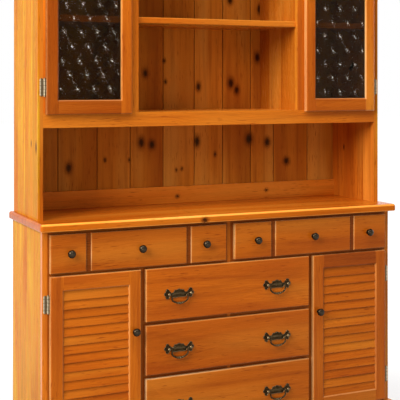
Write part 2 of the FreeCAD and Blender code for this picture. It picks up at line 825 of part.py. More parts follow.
def hinge(edge_x, z, plane_y):
    """A hinge for a door on the left: frame leaf, pin with screws, door leaf. edge_x is the door's edge."""
    up = V(0, 0, 1)
    axis_x = edge_x - door_leaf_thickness - hinge_clearance - barrel_radius
    axis_y = plane_y - barrel_radius
    half = barrel_length / 2
    half_door = door_knuckle_length / 2
    half_leaf = leaf_height / 2
    shoulder = half_leaf - leaf_tip
    bore = pin_radius + pin_clearance
    near = axis_x - barrel_radius - knuckle_gap
    far = axis_x - leaf_width - barrel_radius
    tip_x = (near + far) / 2
    leaf_front = plane_y - leaf_thickness
    leaf = prism(
        [V(far, leaf_front, -shoulder), V(tip_x, leaf_front, -half_leaf), V(near, leaf_front, -shoulder),
         V(near, leaf_front, shoulder), V(tip_x, leaf_front, half_leaf), V(far, leaf_front, shoulder)],
        V(0, leaf_thickness, 0),
    )
    knuckle = half - half_door - knuckle_gap
    frame_parts = [leaf]
    for start in (-half, half - knuckle):
        frame_parts.append(rod(axis_x, axis_y, start, barrel_radius, knuckle, up))
        frame_parts.append(block(near - knuckle_gap, axis_x, leaf_front, plane_y, start, start + knuckle))
    pin_hole = rod(axis_x, axis_y, -half - overrun, bore, barrel_length + 2 * overrun, up)
    frame_leaf = joined(frame_parts).cut(pin_hole)
    plate_x = edge_x - door_leaf_thickness
    half_leaf_board = door_leaf_thickness / 2
    door_leaf = joined(
        [
            rod(axis_x, axis_y, -half_door, barrel_radius, door_knuckle_length, up),
            block(
                axis_x,
                plate_x + half_leaf_board,
                axis_y - half_leaf_board,
                axis_y + half_leaf_board,
                -half_door,
                half_door,
            ),
            block(plate_x, edge_x, plane_y - closed_gap - door_leaf_depth, plane_y - closed_gap, -half, half),
        ]
    ).cut(pin_hole)
    pin = joined(
        [
            rod(axis_x, axis_y, -half - finial_radius, pin_radius, barrel_length + 2 * finial_radius, up),
            ball(axis_x, axis_y, half + finial_radius, finial_radius),
            ball(axis_x, axis_y, -half - finial_radius, finial_radius),
        ]
    )
    head = block(-overrun, overrun, -overrun, 0, -overrun, overrun)
    cap_radius = (screw_radius**2 + screw_height**2) / (2 * screw_height)
    cap = ball(0, cap_radius - screw_height, 0, cap_radius).common(head)
    screws = []
    for rise in (-screw_spacing / 2, screw_spacing / 2):
        screw = cap.copy()
        screw.translate(V(tip_x, leaf_front, rise))
        screws.append(screw)
    for piece in [frame_leaf, pin, door_leaf] + screws:
        piece.translate(V(0, 0, z))
    return frame_leaf, [pin] + screws, door_leaf


def door_hinges(edge_x, heights, plane_y):
    """All hinges of one left-hand door, sorted into frame leaves, pins with screws, and door leaves."""
    made = [hinge(edge_x, z, plane_y) for z in heights]
    return [m[0] for m in made], [s for m in made for s in m[1]], [m[2] for m in made]


def make_louvre_doors():
    """The two lower doors. Returns the hinge pieces that stay on the frame."""
    x0 = -fronts_outer
    x1 = -louvre_inner
    z0 = fronts_bottom
    z1 = lower_fronts_top
    slat_x0 = x0 + louvre_stile - slat_housing
    slat_x1 = x1 - louvre_stile + slat_housing
    slat_z0 = z0 + louvre_bottom_rail
    slat_z1 = z1 - louvre_top_rail
    pull = knob(x1 - louvre_stile / 2, z1 - knob_drop_share * (z1 - z0), front_face_y)
    strike = strike_plate(-mullion_outer - catch_length / 2, mid_rail_bottom, front_back_y)
    members = (louvre_stile, louvre_bottom_rail, louvre_top_rail)
    boards = door_frame(x0, x1, z0, z1, front_face_y, front_back_y, *members)
    leaves, fixings, door_leaves = door_hinges(x0, (z0 + louvre_hinge_inset, z1 - louvre_hinge_inset), face_y)
    for side, even_pitch in (("left", left_slat_pitch), ("right", right_slat_pitch)):
        slats = louvre_slats(slat_x0, slat_x1, slat_z0, slat_z1, front_face_y, front_back_y, even_pitch)
        frame = [cut_by(piece, slats + pull + [strike]) for piece in boards]
        sets = (("frame", frame), ("slats", slats), ("knob", pull), ("plates", door_leaves + [strike]))
        for name, pieces in sets:
            placed = pieces if side == "left" else [mirrored(piece) for piece in pieces]
            save(side + "_louvre_door_" + name, placed)
    return leaves, fixings


def make_glass_doors():
    """The two glazed doors. Returns the hinge pieces that stay on the frame."""
    x0 = -glass_outer
    x1 = -glass_inner
    z0 = glass_door_bottom
    z1 = glass_door_top
    frame = door_frame(x0, x1, z0, z1, glass_face_y, glass_back_y, glass_stile, glass_rail, glass_rail)
    in_x0 = x0 + glass_stile
    in_x1 = x1 - glass_stile
    in_z0 = z0 + glass_rail
    in_z1 = z1 - glass_rail
    r = glass_rebate
    seat = glass_face_y + glass_inset
    rebate = block(in_x0 - r, in_x1 + r, seat, glass_back_y + overrun, in_z0 - r, in_z1 + r)
    pull = knob(x1 - glass_stile / 2, z0 + glass_knob_rise_share * (z1 - z0), glass_face_y)
    strike = strike_plate(-glass_inner - glass_door_lap - catch_length / 2, bay_top, glass_back_y)
    frame = [cut_by(piece, [rebate, strike] + pull) for piece in frame]
    c = glass_clearance
    pane = block(in_x0 - r + c, in_x1 + r - c, seat, seat + glass_thickness, in_z0 - r + c, in_z1 + r - c)
    bead_y = seat + glass_thickness
    inner_z0 = in_z0 - r + bead_width
    inner_z1 = in_z1 + r - bead_width
    beads = [
        block(in_x0 - r, in_x1 + r, bead_y, glass_back_y, in_z0 - r, inner_z0),
        block(in_x0 - r, in_x1 + r, bead_y, glass_back_y, inner_z1, in_z1 + r),
        block(in_x0 - r, in_x0 - r + bead_width, bead_y, glass_back_y, inner_z0, inner_z1),
        block(in_x1 + r - bead_width, in_x1 + r, bead_y, glass_back_y, inner_z0, inner_z1),
    ]
    leaves, fixings, door_leaves = door_hinges(x0, (z0 + glass_hinge_inset, z1 - glass_hinge_inset), hutch_y)
    save_pair("glass_door_frame", frame + beads)
    save_pair("glass_door_pane", [pane])
    save_pair("glass_door_knob", pull)
    save_pair("glass_door_plates", door_leaves + [strike])
    return leaves, fixings


def save_pair(name, shapes):
    """Writes a left piece and its mirrored right twin."""
    save("left_" + name, shapes)
    save("right_" + name, [mirrored(s) for s in shapes])


def make_fixed_hinge_parts(sets):
    """The frame leaves, pins and screws of all hinges."""
    leaves = [leaf for left, _ in sets for leaf in left]
    fixings = [piece for _, left in sets for piece in left]
    save("hinge_frame_leaves", leaves + [mirrored(s) for s in leaves])
    save("hinge_pins_and_screws", fixings + [mirrored(s) for s in fixings])


def strike_plate(x, top, y):
    """The plate let into the back of a door, in front of a catch. y is the door's back."""
    half = strike_length / 2
    return block(x - half, x + half, y - strike_thickness, y, top - catch_height, top)


def make_catches():
    """Magnetic catches under the rails, near each door's free edge."""
    low = block(mullion_outer, mullion_outer + catch_length, face_y, face_y + catch_width,
                mid_rail_bottom - catch_height, mid_rail_bottom)
    start = glass_inner + glass_door_lap
    high = block(start, start + catch_length, hutch_y, hutch_y + catch_width, bay_top - catch_height, bay_top)
    save("door_catches", both_sides(low) + both_sides(high))


def make_top_drawers():
    """Two top drawers side by side, each with three knobs."""
    knob_z = (top_drawer_bottom + top_drawer_top) / 2
    left = (-fronts_outer, -top_drawer_inner, -stile_inner, -centre_stile_half)
    right = (top_drawer_inner, fronts_outer, centre_stile_half, stile_inner)
    fronts = (
        ("left", left, left_channel_shares, left_knob_shares),
        ("right", right, right_channel_shares, right_knob_shares),
    )
    for side, (x0, x1, opening_x0, opening_x1), channel_shares, knob_shares in fronts:
        places = [x0 + share * (x1 - x0) for share in knob_shares]
        knobs = [piece for x in places for piece in knob(x, knob_z, front_face_y)]
        front_box = (x0, x1, top_drawer_bottom, top_drawer_top)
        opening = (opening_x0, opening_x1, mid_rail_top, top_rail_bottom)
        drawer(side + "_top_drawer", front_box, opening, knobs, channel_shares)
        save(side + "_top_drawer_knobs", knobs)


def make_wide_drawers():
    """Three wide drawers one above another, each with two bail pulls."""
    rows = (
        ("lower_drawer", fronts_bottom, lower_drawer_height, middle_drawer_bottom - drawer_gap),
        ("middle_drawer", middle_drawer_bottom, middle_drawer_height, upper_drawer_bottom - drawer_gap),
        ("upper_drawer", upper_drawer_bottom, upper_drawer_height, lower_fronts_top),
    )
    for name, bottom, height, opening_top in rows:
        z = bottom + height / 2
        front_box = (-half_drawer, half_drawer, bottom, bottom + height)
        opening = (-mullion_inner, mullion_inner, bottom + front_lap, opening_top - front_lap)
        left_x = left_pull_inset - half_drawer
        right_x = half_drawer - right_pull_inset
        pulls = pull_plate(left_x, z) + pull_plate(right_x, z)
        drawer(name, front_box, opening, pulls, ())
        save(name + "_pull_plates", pulls)
        save(name + "_left_bail", [bail(left_x, z)])
        save(name + "_right_bail", [bail(right_x, z)])


def main():
    os.makedirs("parts", exist_ok=True)
    dowels = hutch_dowels()
    make_worktop(dowels)
    base_shelves = make_base()
    make_plinth()
    hutch_shelves = make_hutch(dowels)
    save("cupboard_shelves", base_shelves + hutch_shelves)
    make_cornice()
    make_top_drawers()
    make_wide_drawers()
    make_fixed_hinge_parts([make_louvre_doors(), make_glass_doors()])
    make_catches()
    print("front reach", round(front_reach, 2), "height", round(total_height, 2))


main()
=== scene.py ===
import json
import math
from functools import partialmethod, reduce

import bmesh
import bpy
import numpy as np
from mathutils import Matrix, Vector

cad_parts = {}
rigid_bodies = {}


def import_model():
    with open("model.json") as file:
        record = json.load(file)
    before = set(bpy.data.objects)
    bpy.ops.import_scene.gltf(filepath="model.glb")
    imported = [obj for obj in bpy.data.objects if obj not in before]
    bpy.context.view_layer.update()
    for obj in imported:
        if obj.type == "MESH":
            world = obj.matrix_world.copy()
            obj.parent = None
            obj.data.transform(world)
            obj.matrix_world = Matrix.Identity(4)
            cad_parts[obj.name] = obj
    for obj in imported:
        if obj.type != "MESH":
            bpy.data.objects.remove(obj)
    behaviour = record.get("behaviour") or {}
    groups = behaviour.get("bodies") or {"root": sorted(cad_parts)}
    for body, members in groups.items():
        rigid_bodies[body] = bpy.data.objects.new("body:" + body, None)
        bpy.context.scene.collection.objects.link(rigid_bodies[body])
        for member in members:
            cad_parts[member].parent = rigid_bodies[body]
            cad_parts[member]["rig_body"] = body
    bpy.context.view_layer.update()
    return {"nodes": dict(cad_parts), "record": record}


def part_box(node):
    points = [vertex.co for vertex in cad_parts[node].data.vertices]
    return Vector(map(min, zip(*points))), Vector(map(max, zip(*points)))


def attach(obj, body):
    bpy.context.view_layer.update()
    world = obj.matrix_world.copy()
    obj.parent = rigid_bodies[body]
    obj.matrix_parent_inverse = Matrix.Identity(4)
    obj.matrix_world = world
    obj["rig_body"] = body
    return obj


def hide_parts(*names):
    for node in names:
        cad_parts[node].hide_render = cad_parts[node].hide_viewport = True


# A stained pine dresser: a base with drawers and louvred doors, a hutch with glazed doors and open shelves.
# Metres, X to the right, Y to the back, Z up, the origin on the floor.

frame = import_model()
nodes = frame["nodes"]
slotOf = {part["node"]: part["material_slot"] for part in frame["record"]["subparts"]}
scene = bpy.context.scene
seeds = {"grain": 31, "edges": 5, "beads": 77}
rng = np.random.default_rng(seeds["grain"])
print("frame loaded,", len(nodes), "nodes")


def given(thing, **settings):
    # the thing, with its settings made
    for key, value in settings.items():
        setattr(thing, key, value)
    return thing


def inScene(name, data):
    obj = bpy.data.objects.new(name, data)
    scene.collection.objects.link(obj)
    return obj


# camera, measured from the photograph
view = {
    "place": (-1.67804, -3.51539, 1.33866),
    "yaw": -25.024,
    "lens": 92.474,
    "sensor": 36.0,
    "shiftUp": -0.2903,
    "farthest": 100.0,
}
cameraData = given(bpy.data.cameras.new("photoCamera"), sensor_fit="HORIZONTAL", sensor_width=view["sensor"],
                   lens=view["lens"], shift_y=view["shiftUp"], clip_end=view["farthest"])
camera = inScene("photoCamera", cameraData)
camera.location = view["place"]
camera.rotation_euler = (math.radians(90.0), 0.0, math.radians(view["yaw"]))
scene.camera = camera
scene.view_settings.view_transform = "Standard"


class Nodes:
    # short hands for building a material's or the world's node tree
    def __init__(self, name, family=bpy.data.materials, output="OutputMaterial"):
        self.owner = family.new(name)
        self.owner.use_nodes = True
        self.tree = self.owner.node_tree
        self.tree.nodes.clear()
        self.out = self.add(output)

    def add(self, kind, **settings):
        return given(self.tree.nodes.new("ShaderNode" + kind), **settings)

    def feed(self, socket, value):
        # a socket is linked, anything else is set as the value
        if hasattr(value, "is_output"):
            self.tree.links.new(value, socket)
        elif isinstance(value, tuple) and len(value) == 3 and socket.type == "RGBA":
            socket.default_value = (*value, 1.0)
        else:
            socket.default_value = value

    def feedAll(self, node, *values):
        # fills a node's sockets in their order
        for socket, value in zip(node.inputs, values):
            self.feed(socket, value)
        return node

    def feedNamed(self, node, **values):
        # fills sockets by their names, with _ for a blank
        for key, value in values.items():
            self.feed(node.inputs[key.replace("_", " ")], value)
        return node

    def place(self):
        return self.add("TexCoord").outputs["Object"]

    def normal(self):
        return self.add("TexCoord").outputs["Normal"]

    def attribute(self, name, output="Fac"):
        return self.add("Attribute", attribute_name=name).outputs[output]

    def math(self, operation, *values):
        return self.feedAll(self.add("Math", operation=operation), *values).outputs[0]

    mul = partialmethod(math, "MULTIPLY")
    madd = partialmethod(math, "MULTIPLY_ADD")  # a times b, plus c
    sub = partialmethod(math, "SUBTRACT")
    size = partialmethod(math, "ABSOLUTE")
    least = partialmethod(math, "MINIMUM")
    most = partialmethod(math, "MAXIMUM")

    def vector(self, operation, *values):
        node = self.feedAll(self.add("VectorMath", operation=operation), *values)
        return node.outputs["Value" if operation == "LENGTH" else "Vector"]

    def join(self, x=0.0, y=0.0, z=0.0):
        return self.feedAll(self.add("CombineXYZ"), x, y, z).outputs[0]

    def split(self, vector):
        return self.feedAll(self.add("SeparateXYZ"), vector).outputs

    def noise(self, vector, scale=1.0, detail=2.0, rough=0.5, output="Fac"):
        node = self.add("TexNoise")
        self.feedNamed(node, Vector=vector, Scale=scale, Detail=detail, Roughness=rough)
        return node.outputs[output]

    def drawn(self, grain, scales, shift, detail=2.0, rough=0.5):
        # noise drawn out along the grain; the shift gives each board its own
        place = self.vector("ADD", self.vector("MULTIPLY", grain, scales), shift)
        return self.noise(place, 1.0, detail, rough)

    def ramp(self, factor, *stops):
        # grey levels at places from 0 to 1
        node = self.add("ValToRGB")
        elements = node.color_ramp.elements
        elements.remove(elements[1])
        for index, (place, level) in enumerate(stops):
            element = elements.new(place) if index else elements[0]
            element.position = place
            element.color = (level, level, level, 1.0)
        self.feed(node.inputs[0], factor)
        return node.outputs[0]

    def smoothRange(self, value, *limits):
        # from one range to another, easing in and out
        node = self.add("MapRange", interpolation_type="SMOOTHSTEP")
        return self.feedAll(node, value, *limits).outputs[0]

    def mix(self, factor, a, b, blend="MIX"):
        node = self.add("Mix", data_type="RGBA", blend_type=blend)
        for index, value in ((0, factor), (6, a), (7, b)):
            self.feed(node.inputs[index], value)
        return node.outputs[2]

    def times(self, a, b):
        return self.mix(1.0, a, b, "MULTIPLY")

    def tinted(self, factor, colour, tint):
        # the colour, multiplied by the tint where the factor is 1
        return self.mix(factor, colour, self.times(colour, tint))

    def shade(self, colour, bumpHeight, bump, bumpSize, **sockets):
        # the Principled shader that ends the tree
        node = self.feedNamed(self.add("Bump"), Strength=bump, Distance=bumpSize, Height=bumpHeight)
        return self.finish(self.feedNamed(self.add("BsdfPrincipled"), Base_Color=colour,
                                          Normal=node.outputs[0], **sockets))

    def finish(self, shader):
        self.feed(self.out.inputs["Surface"], shader.outputs[0])
        return self.owner

    def seen(self):
        # 1 for rays of the eye, of gloss and through glass, 0 for light that falls on things
        rays = self.add("LightPath").outputs
        others = self.most(rays["Is Glossy Ray"], rays["Is Transmission Ray"])
        return self.most(rays["Is Camera Ray"], others)


# stained and lacquered pine; pairs in a row are a ramp's stops, place and level, here and below
pine = {
    "early": (0.52, 0.122, 0.006),  # wide pale part of a growth ring
    "late": (0.37, 0.064, 0.0025),  # narrow dark part
    "honey": (0.61, 0.19, 0.016),  # where less stain was taken
    "red": (0.31, 0.045, 0.0025),  # where more was
    "fleck": (0.24, 0.036, 0.002),  # short dark dashes
    "knot": (0.012, 0.0035, 0.0015),
    "halo": (0.105, 0.016, 0.0022),  # wood round a knot
    "edge": (1.3, 2.8, 17.0),  # painted highlight on fronts' edges and side faces: how much paler
    "caseEdge": (1.15, 1.8, 3.0),  # painted highlight on the case's edges
    "nose": (2.0, 3.0, 8.0),  # painted highlight on the worktop's rounded nose
    "groove": (0.22, 0.15, 0.1),  # dirt in the joints between back boards
    "recess": (0.4, 0.3, 0.25),  # painted shade in channels and gaps
    "stave": 0.096,  # panels are glued up from staves this wide
    "lots": 91.7,  # spread of the boards' numbers
    "streak": 0.34,  # depth of the soft streaks
    "fibre": 0.2,  # depth of the fine fibres
    "redStreaks": ((0.5, 0.0), (0.78, 0.75)),
    "redPatches": ((0.34, 0.55), (0.46, 0.0)),
    "honeyPatches": ((0.5, 0.0), (0.68, 0.75)),
    "flecks": ((0.84, 0.0), (0.92, 0.8)),
    "crowd": 0.35,  # how much the flecks crowd together
    "ringShare": (1.1, -0.05),  # how much the rings show, by the patches
    "stainPowers": (1.5, 1.8),  # stain holds back more green than red, and most blue
    "rough": 0.26,
    "gloss": 0.16,  # the fibres' share in it
    "specular": 0.5,
    "specularTint": (1.0, 0.4, 0.1),  # gloss is amber straight on, white at a low angle
    "bump": (0.12, 0.0004),
    "ringBump": 0.4,  # the rings' height beside the fibres'
}
# how often the wood's noises change in a metre: along, across and through a board
often = {
    "drift": 1.5,
    "wobble": (9.0, 30.0, 30.0),
    "years": 75.0,
    "patch": (1.1, 7.0, 7.0),
    "streak": (2.4, 48.0, 48.0),
    "fibre": (18.0, 800.0, 800.0),
    "fleck": (22.0, 260.0, 260.0),
    "crowd": (4.0, 16.0, 16.0),
}
# growth rings
growth = {
    "ring": 0.0036,  # width of a ring
    "across": (0.14, -0.09),  # the pith's place beside a stave: spread and least
    "deep": (0.1, 0.035),  # and behind it
    "drift": 0.16,  # how far it wanders along a board
    "wobble": 0.0045,
    "years": 3.4,  # how uneven the rings' widths are
    "saw": ((0.0, 0.1), (0.5, 0.25), (0.84, 0.92), (0.94, 1.0), (1.0, 0.1)),  # darkness through a ring
}
# knots; distances are in radii of a knot
knotty = {
    "bend": (550.0, (0.024, 0.0, 0.03)),  # ragged outline: how often in a metre, how far
    "cells": (3.0, 8.0, 0.0),  # stray knots lie in cells: how many in a metre
    "strayShift": (57.0, 23.0),
    "straySize": (0.022, 0.013),  # spread and least
    "noKnot": 60.0,  # distance in a cell without one
    "push": (0.4, 4.5, 3.2, 0.0),  # rings bend round it: from, to, how many there and there
    "halo": (0.2, (0.22, 0.84), (0.62, 0.0)),
    "heart": (0.9, 1.05, (0.1, 0.95), (1.0, 0.0)),
}
# where painted highlights, painted shade, the sides' painted light and the back boards' dark joints show
paintedMarks = {
    "edge": ((0.35, 1.0), (0.93, 0.0)),  # by how far a face turns to the front or back
    "sunkDeep": ((0.2, 0.0), (0.5, 1.0)),  # by its centimetres below the front
    "sunkFlat": ((0.85, 0.0), (0.98, 1.0)),  # and how squarely it faces the front
    "nose": ((0.16, 0.0), (0.42, 1.0)),
    "underTop": ((0.838, 1.0), (0.846, 0.0)),  # height of the worktop's underside
    "outsideBand": 0.003,
    "outsideStreaks": ((0.4, 0.0), (0.6, 1.0)),
}


def ringTurns(n, grain, number, lots):
    # Growth rings are circles about a pith behind each stave. They are counted: the distance from the pith,
    # bent by slow noise, divided by a ring's width and made uneven from year to year.
    along, across, deep = n.split(grain)
    slow = n.noise(n.join(n.mul(along, often["drift"]), number))
    wobble = n.noise(n.vector("MULTIPLY", grain, often["wobble"]))
    y = n.math("ADD", across, n.madd(lots[0], *growth["across"]))
    y = n.madd(n.sub(slow, 0.5), growth["drift"], y)
    z = n.math("ADD", deep, n.madd(lots[1], *growth["deep"]))
    radius = n.math("SQRT", n.math("ADD", n.mul(y, y), n.mul(z, z)))
    radius = n.madd(wobble, growth["wobble"], radius)
    years = n.noise(n.join(n.mul(radius, often["years"]), number), 1.0, 1.0)
    return n.madd(years, growth["years"], n.math("DIVIDE", radius, growth["ring"]))


def knotDistance(n, place, grain, seed, knots, stray):
    # The distance to the nearest knot, in radii of it: of the listed ones, whose outline noise bends, and of
    # stray ones at the middles of random cells, of which the share "stray" hold one. None without knots.
    reaches = []
    if knots:
        scale, amount = knotty["bend"]
        bend = n.vector("SUBTRACT", n.noise(place, scale, output="Color"), (0.5, 0.5, 0.5))
        bent = n.vector("ADD", place, n.vector("MULTIPLY", bend, amount))
    for kx, kz, wide, tall in np.array(knots) / 1000:
        offset = n.vector("SUBTRACT", bent, (kx, 0.0, kz))
        reaches.append(n.vector("LENGTH", n.vector("MULTIPLY", offset, (1.0 / wide, 0.0, 1.0 / tall))))
    if stray:
        shift = n.join(*(n.mul(seed, share) for share in knotty["strayShift"]))
        cells = n.feedNamed(n.add("TexVoronoi", voronoi_dimensions="2D"), Scale=1.0,
                            Vector=n.vector("MULTIPLY_ADD", grain, knotty["cells"], shift)).outputs
        pickA, pickB, _ = n.split(cells["Color"])
        reach = n.math("DIVIDE", cells["Distance"], n.madd(pickB, *knotty["straySize"]))
        reaches.append(n.madd(n.math("GREATER_THAN", pickA, stray), knotty["noKnot"], reach))
    return reduce(n.least, reaches) if reaches else None


def pineMaterial(name, tone=(1.0, 1.0, 1.0), staves=True, spread=0.14, knots=(), stray=0.0,
                 rough=pine["rough"], specular=pine["specular"], outside=None, streaks=1.0, rings=1.0,
                 edge=None, noseHighlight=False, gaps=()):
    # The rings run through a saw-tooth ramp; patches, streaks, fibres, flecks and knots are laid over them.
    # "grain" is a point's place along, across and through its board, "seed" the board's own number, "stain"
    # how much light its stain lets through.
    n = Nodes(name)
    place, grain = n.place(), n.attribute("grain", "Vector")
    seed, stain = n.attribute("seed"), n.attribute("stain")
    _, across, deep = n.split(grain)
    stave = n.math("FLOOR", n.math("DIVIDE", across, pine["stave"])) if staves else 0.0
    number = n.madd(seed, pine["lots"], stave)
    lots = n.feedNamed(n.add("TexWhiteNoise", noise_dimensions="1D"), W=number)
    lots = n.split(lots.outputs["Color"])
    turns = ringTurns(n, grain, number, lots)
    near = knotDistance(n, place, grain, seed, knots, stray)
    if near is not None:
        turns = n.math("ADD", turns, n.smoothRange(near, *knotty["push"]))

    ring = n.ramp(n.math("FRACT", turns), *growth["saw"])
    patch = n.drawn(grain, often["patch"], n.join(0.0, 0.0, number))
    streak = n.drawn(grain, often["streak"], n.join(0.0, 0.0, number), 4.0, 0.6)
    fibre = n.noise(n.vector("MULTIPLY", grain, often["fibre"]), 1.0, 2.0, 0.6)
    fleck = n.drawn(grain, often["fleck"], n.join(number), 1.0)
    crowd = n.drawn(grain, often["crowd"], n.join(0.0, number), 1.0)
    shown = n.madd(patch, *(rings * share for share in pine["ringShare"]))
    colour = n.mix(n.mul(ring, shown), pine["early"], pine["late"])
    colour = n.mix(n.ramp(streak, *pine["redStreaks"]), colour, pine["red"])
    colour = n.mix(n.ramp(patch, *pine["redPatches"]), colour, pine["red"])
    colour = n.mix(n.ramp(patch, *pine["honeyPatches"]), colour, pine["honey"])
    level = n.madd(n.sub(fibre, 0.5), pine["fibre"], 1.0)
    level = n.madd(n.sub(0.5, streak), pine["streak"] * streaks, level)
    level = n.mul(level, n.madd(lots[2], spread, 1.0 - spread / 2))
    flecks = n.ramp(n.madd(crowd, pine["crowd"], fleck), *pine["flecks"])
    colour = n.mix(flecks, colour, pine["fleck"])
    colour = n.times(n.times(colour, n.join(level, level, level)), tone)
    colour = n.times(colour, n.join(stain, *(n.math("POWER", stain, power) for power in pine["stainPowers"])))

    _, normalY, normalZ = n.split(n.normal())
    # where a face turns from the front: painted highlight on fronts and case, dark joints on the back boards
    if edge:
        colour = n.tinted(n.ramp(n.size(normalY), *paintedMarks["edge"]), colour, pine[edge])
    # painted shade on faces sunk below the front that face it squarely, as in the channels
    if edge == "edge":
        sunk = n.least(n.ramp(n.mul(deep, 100.0), *paintedMarks["sunkDeep"]),
                       n.ramp(n.mul(normalY, -1.0), *paintedMarks["sunkFlat"]))
        colour = n.tinted(sunk, colour, pine["recess"])
    # painted highlight along the worktop's rounded nose, where the face turns between top and front
    if noseHighlight:
        rounded = n.size(n.mul(normalY, normalZ))
        colour = n.tinted(n.ramp(rounded, *paintedMarks["nose"]), colour, pine["nose"])
    # painted shade on the face frame in the gaps between the fronts, below the worktop
    if gaps:
        x, _, z = n.split(place)
        between = n.least(n.ramp(n.size(x), *gaps), n.ramp(z, *paintedMarks["underTop"]))
        colour = n.tinted(between, colour, pine["recess"])
    # painted light: the sides' outer faces paler and yellower, as under the strong side lamp
    if outside:
        least, darkTone, paleTone = outside
        outer = n.size(n.split(place)[0])
        outer = n.ramp(outer, (least, 0.0), (least + paintedMarks["outsideBand"], 1.0))
        sideLitTint = n.mix(n.ramp(streak, *paintedMarks["outsideStreaks"]), darkTone, paleTone)
        colour = n.tinted(outer, colour, sideLitTint)
    if near is not None:
        scale, *stops = knotty["halo"]
        colour = n.mix(n.ramp(n.mul(near, scale), *stops), colour, pine["halo"])
        ragged, shift, *stops = knotty["heart"]
        heart = n.madd(streak, ragged, n.sub(near, shift))
        colour = n.mix(n.ramp(heart, *stops), colour, pine["knot"])
    gloss = n.madd(fibre, pine["gloss"], rough - pine["gloss"] / 2)
    return n.shade(colour, n.madd(ring, pine["ringBump"], fibre), *pine["bump"], Roughness=gloss,
                   Specular_IOR_Level=specular, Specular_Tint=pine["specularTint"])


# knots of the back boards, in millimetres: x, z, half width, half height
backKnots = (
    (-178.6, 1379.9, 6.5, 10.5), (49, 1327.4, 6, 10), (194, 1342.2, 8.5, 13), (220.8, 1313.8, 7, 11),
    (315.1, 1446.8, 7.5, 12), (326.7, 1645, 7, 12), (190.4, 1678.1, 7, 11), (-488.9, 1021.9, 7.5, 12),
    (-195.4, 1110.8, 8, 12.5), (-151.3, 1101.9, 8, 11), (43.3, 1109.8, 7, 13), (276.3, 1114.5, 10, 14),
    (360.8, 1099.5, 8, 11), (452.1, 1019.2, 8, 9.5), (-98.7, 1429.3, 3.5, 5), (-93.1, 1347.2, 3.5, 5),
    (-344.6, 1047.5, 3.5, 5), (-245.2, 1044.4, 3, 4.5), (123, 1054.9, 3.5, 6), (-46.8, 998.7, 2.8, 4.5),
    (-23, 1002.6, 3, 4),
)
railKnots = ((-46.9, 896, 4.5, 4), (351, 903.4, 4.5, 3.5))
topKnots = ((-111.5, 853.1, 7, 5),)
# painted shade on the face frame in the gaps round the top drawers, by the distance from the middle plane
drawerGaps = ((0.005, 0.0), (0.0075, 1.0), (0.6815, 1.0), (0.684, 0.0))
# painted light on the sides' outer faces, paler and yellower as under the strong side lamp: where they begin,
# tone of the dark and of the pale streaks
sideLightPaint = (0.69, (1.07, 1.17, 0.19), (1.41, 2.47, 0.82))

frontPine = pineMaterial("frontPine", staves=False, edge="edge")
framePine = pineMaterial("framePine", tone=(1.0, 1.1, 1.3), spread=0.18, gaps=drawerGaps)
casePine = pineMaterial("casePine", spread=0.18, edge="caseEdge")
partitionPine = pineMaterial("partitionPine", tone=(1.0, 1.28, 1.8), spread=0.18, stray=0.16)
shelfPine = pineMaterial("shelfPine", tone=(1.35, 1.6, 2.2))
topPine = pineMaterial("worktopPine", knots=topKnots, rough=0.22, specular=0.15, noseHighlight=True)
sidePine = pineMaterial("sidePine", tone=(0.98, 1.07, 1.45), specular=0.02, stray=0.13, streaks=2.2,
                        outside=sideLightPaint)
slatPine = pineMaterial("slatPine", tone=(0.89, 0.84, 0.76), staves=False, spread=0.26)
backPine = pineMaterial("backPine", tone=(0.92, 1.28, 2.3), staves=False, spread=0.3, knots=backKnots,
                        rough=0.32, specular=0.15, streaks=1.4, rings=0.4, edge="groove")
railPine = pineMaterial("railPine", tone=(1.14, 1.2, 1.3), knots=railKnots)
insidePine = pineMaterial("insidePine", tone=(0.92, 0.92, 0.92), rough=0.36)
drawerPine = pineMaterial("plainPine", tone=(1.2, 3.4, 26.0), spread=0.1, rough=0.5)
print("pine materials made")

# metal
metal = {
    "cloud": 210.0,  # patches of patina in a metre
    "fine": 1260.0,
    "cloudShare": 0.6,
    "wearShare": 0.55,
    "bare": ((0.28, 0.0), (0.85, 1.0)),
    "gloss": (-0.1, 0.16),  # bare metal is smoother; the fine noise makes it rougher
    "bump": (0.1, 0.0002),
    "knuckle": 0.0128,  # height of a hinge's knuckle
    "line": ((0.035, 1.0), (0.075, 0.0)),
    "barrel": (0.6835, -0.0064),  # outer side in the base, and how far further in the hutch's lie
    "hutch": 1.0,  # its hinges lie above this
    # the next two: dirt and painted shade on the leaf beside the barrel, painted shade on the barrel's side
    # towards the door
    "leaf": (50.0, (0.0, 0.0), (0.04, 0.9), (0.42, 0.9), (0.5, 0.0)),
    "inner": ((0.15, 0.0), (0.5, 0.8)),
}


def hingeDirtAndShade(n, place, joints):
    # Dark lines between the knuckles; dirt and painted shade on the leaf beside the barrel, and painted shade
    # on the barrel's side towards the door. Joints are the heights of the hinges' middles.
    x, _, z = n.split(place)
    away = reduce(n.least, [n.size(n.sub(z, middle)) for middle in joints])
    part = n.math("FRACT", n.math("DIVIDE", away, metal["knuckle"]))
    line = n.ramp(n.size(n.sub(part, 0.5)), *metal["line"])
    base, further = metal["barrel"]
    barrel = n.madd(n.math("GREATER_THAN", z, metal["hutch"]), further, base)
    scale, *stops = metal["leaf"]
    past = n.mul(n.sub(n.size(x), barrel), scale)
    outward = n.mul(n.split(n.normal())[0], n.math("SIGN", x))
    inner = n.ramp(n.mul(outward, -1.0), *metal["inner"])
    return n.most(line, n.most(n.ramp(past, *stops), inner))


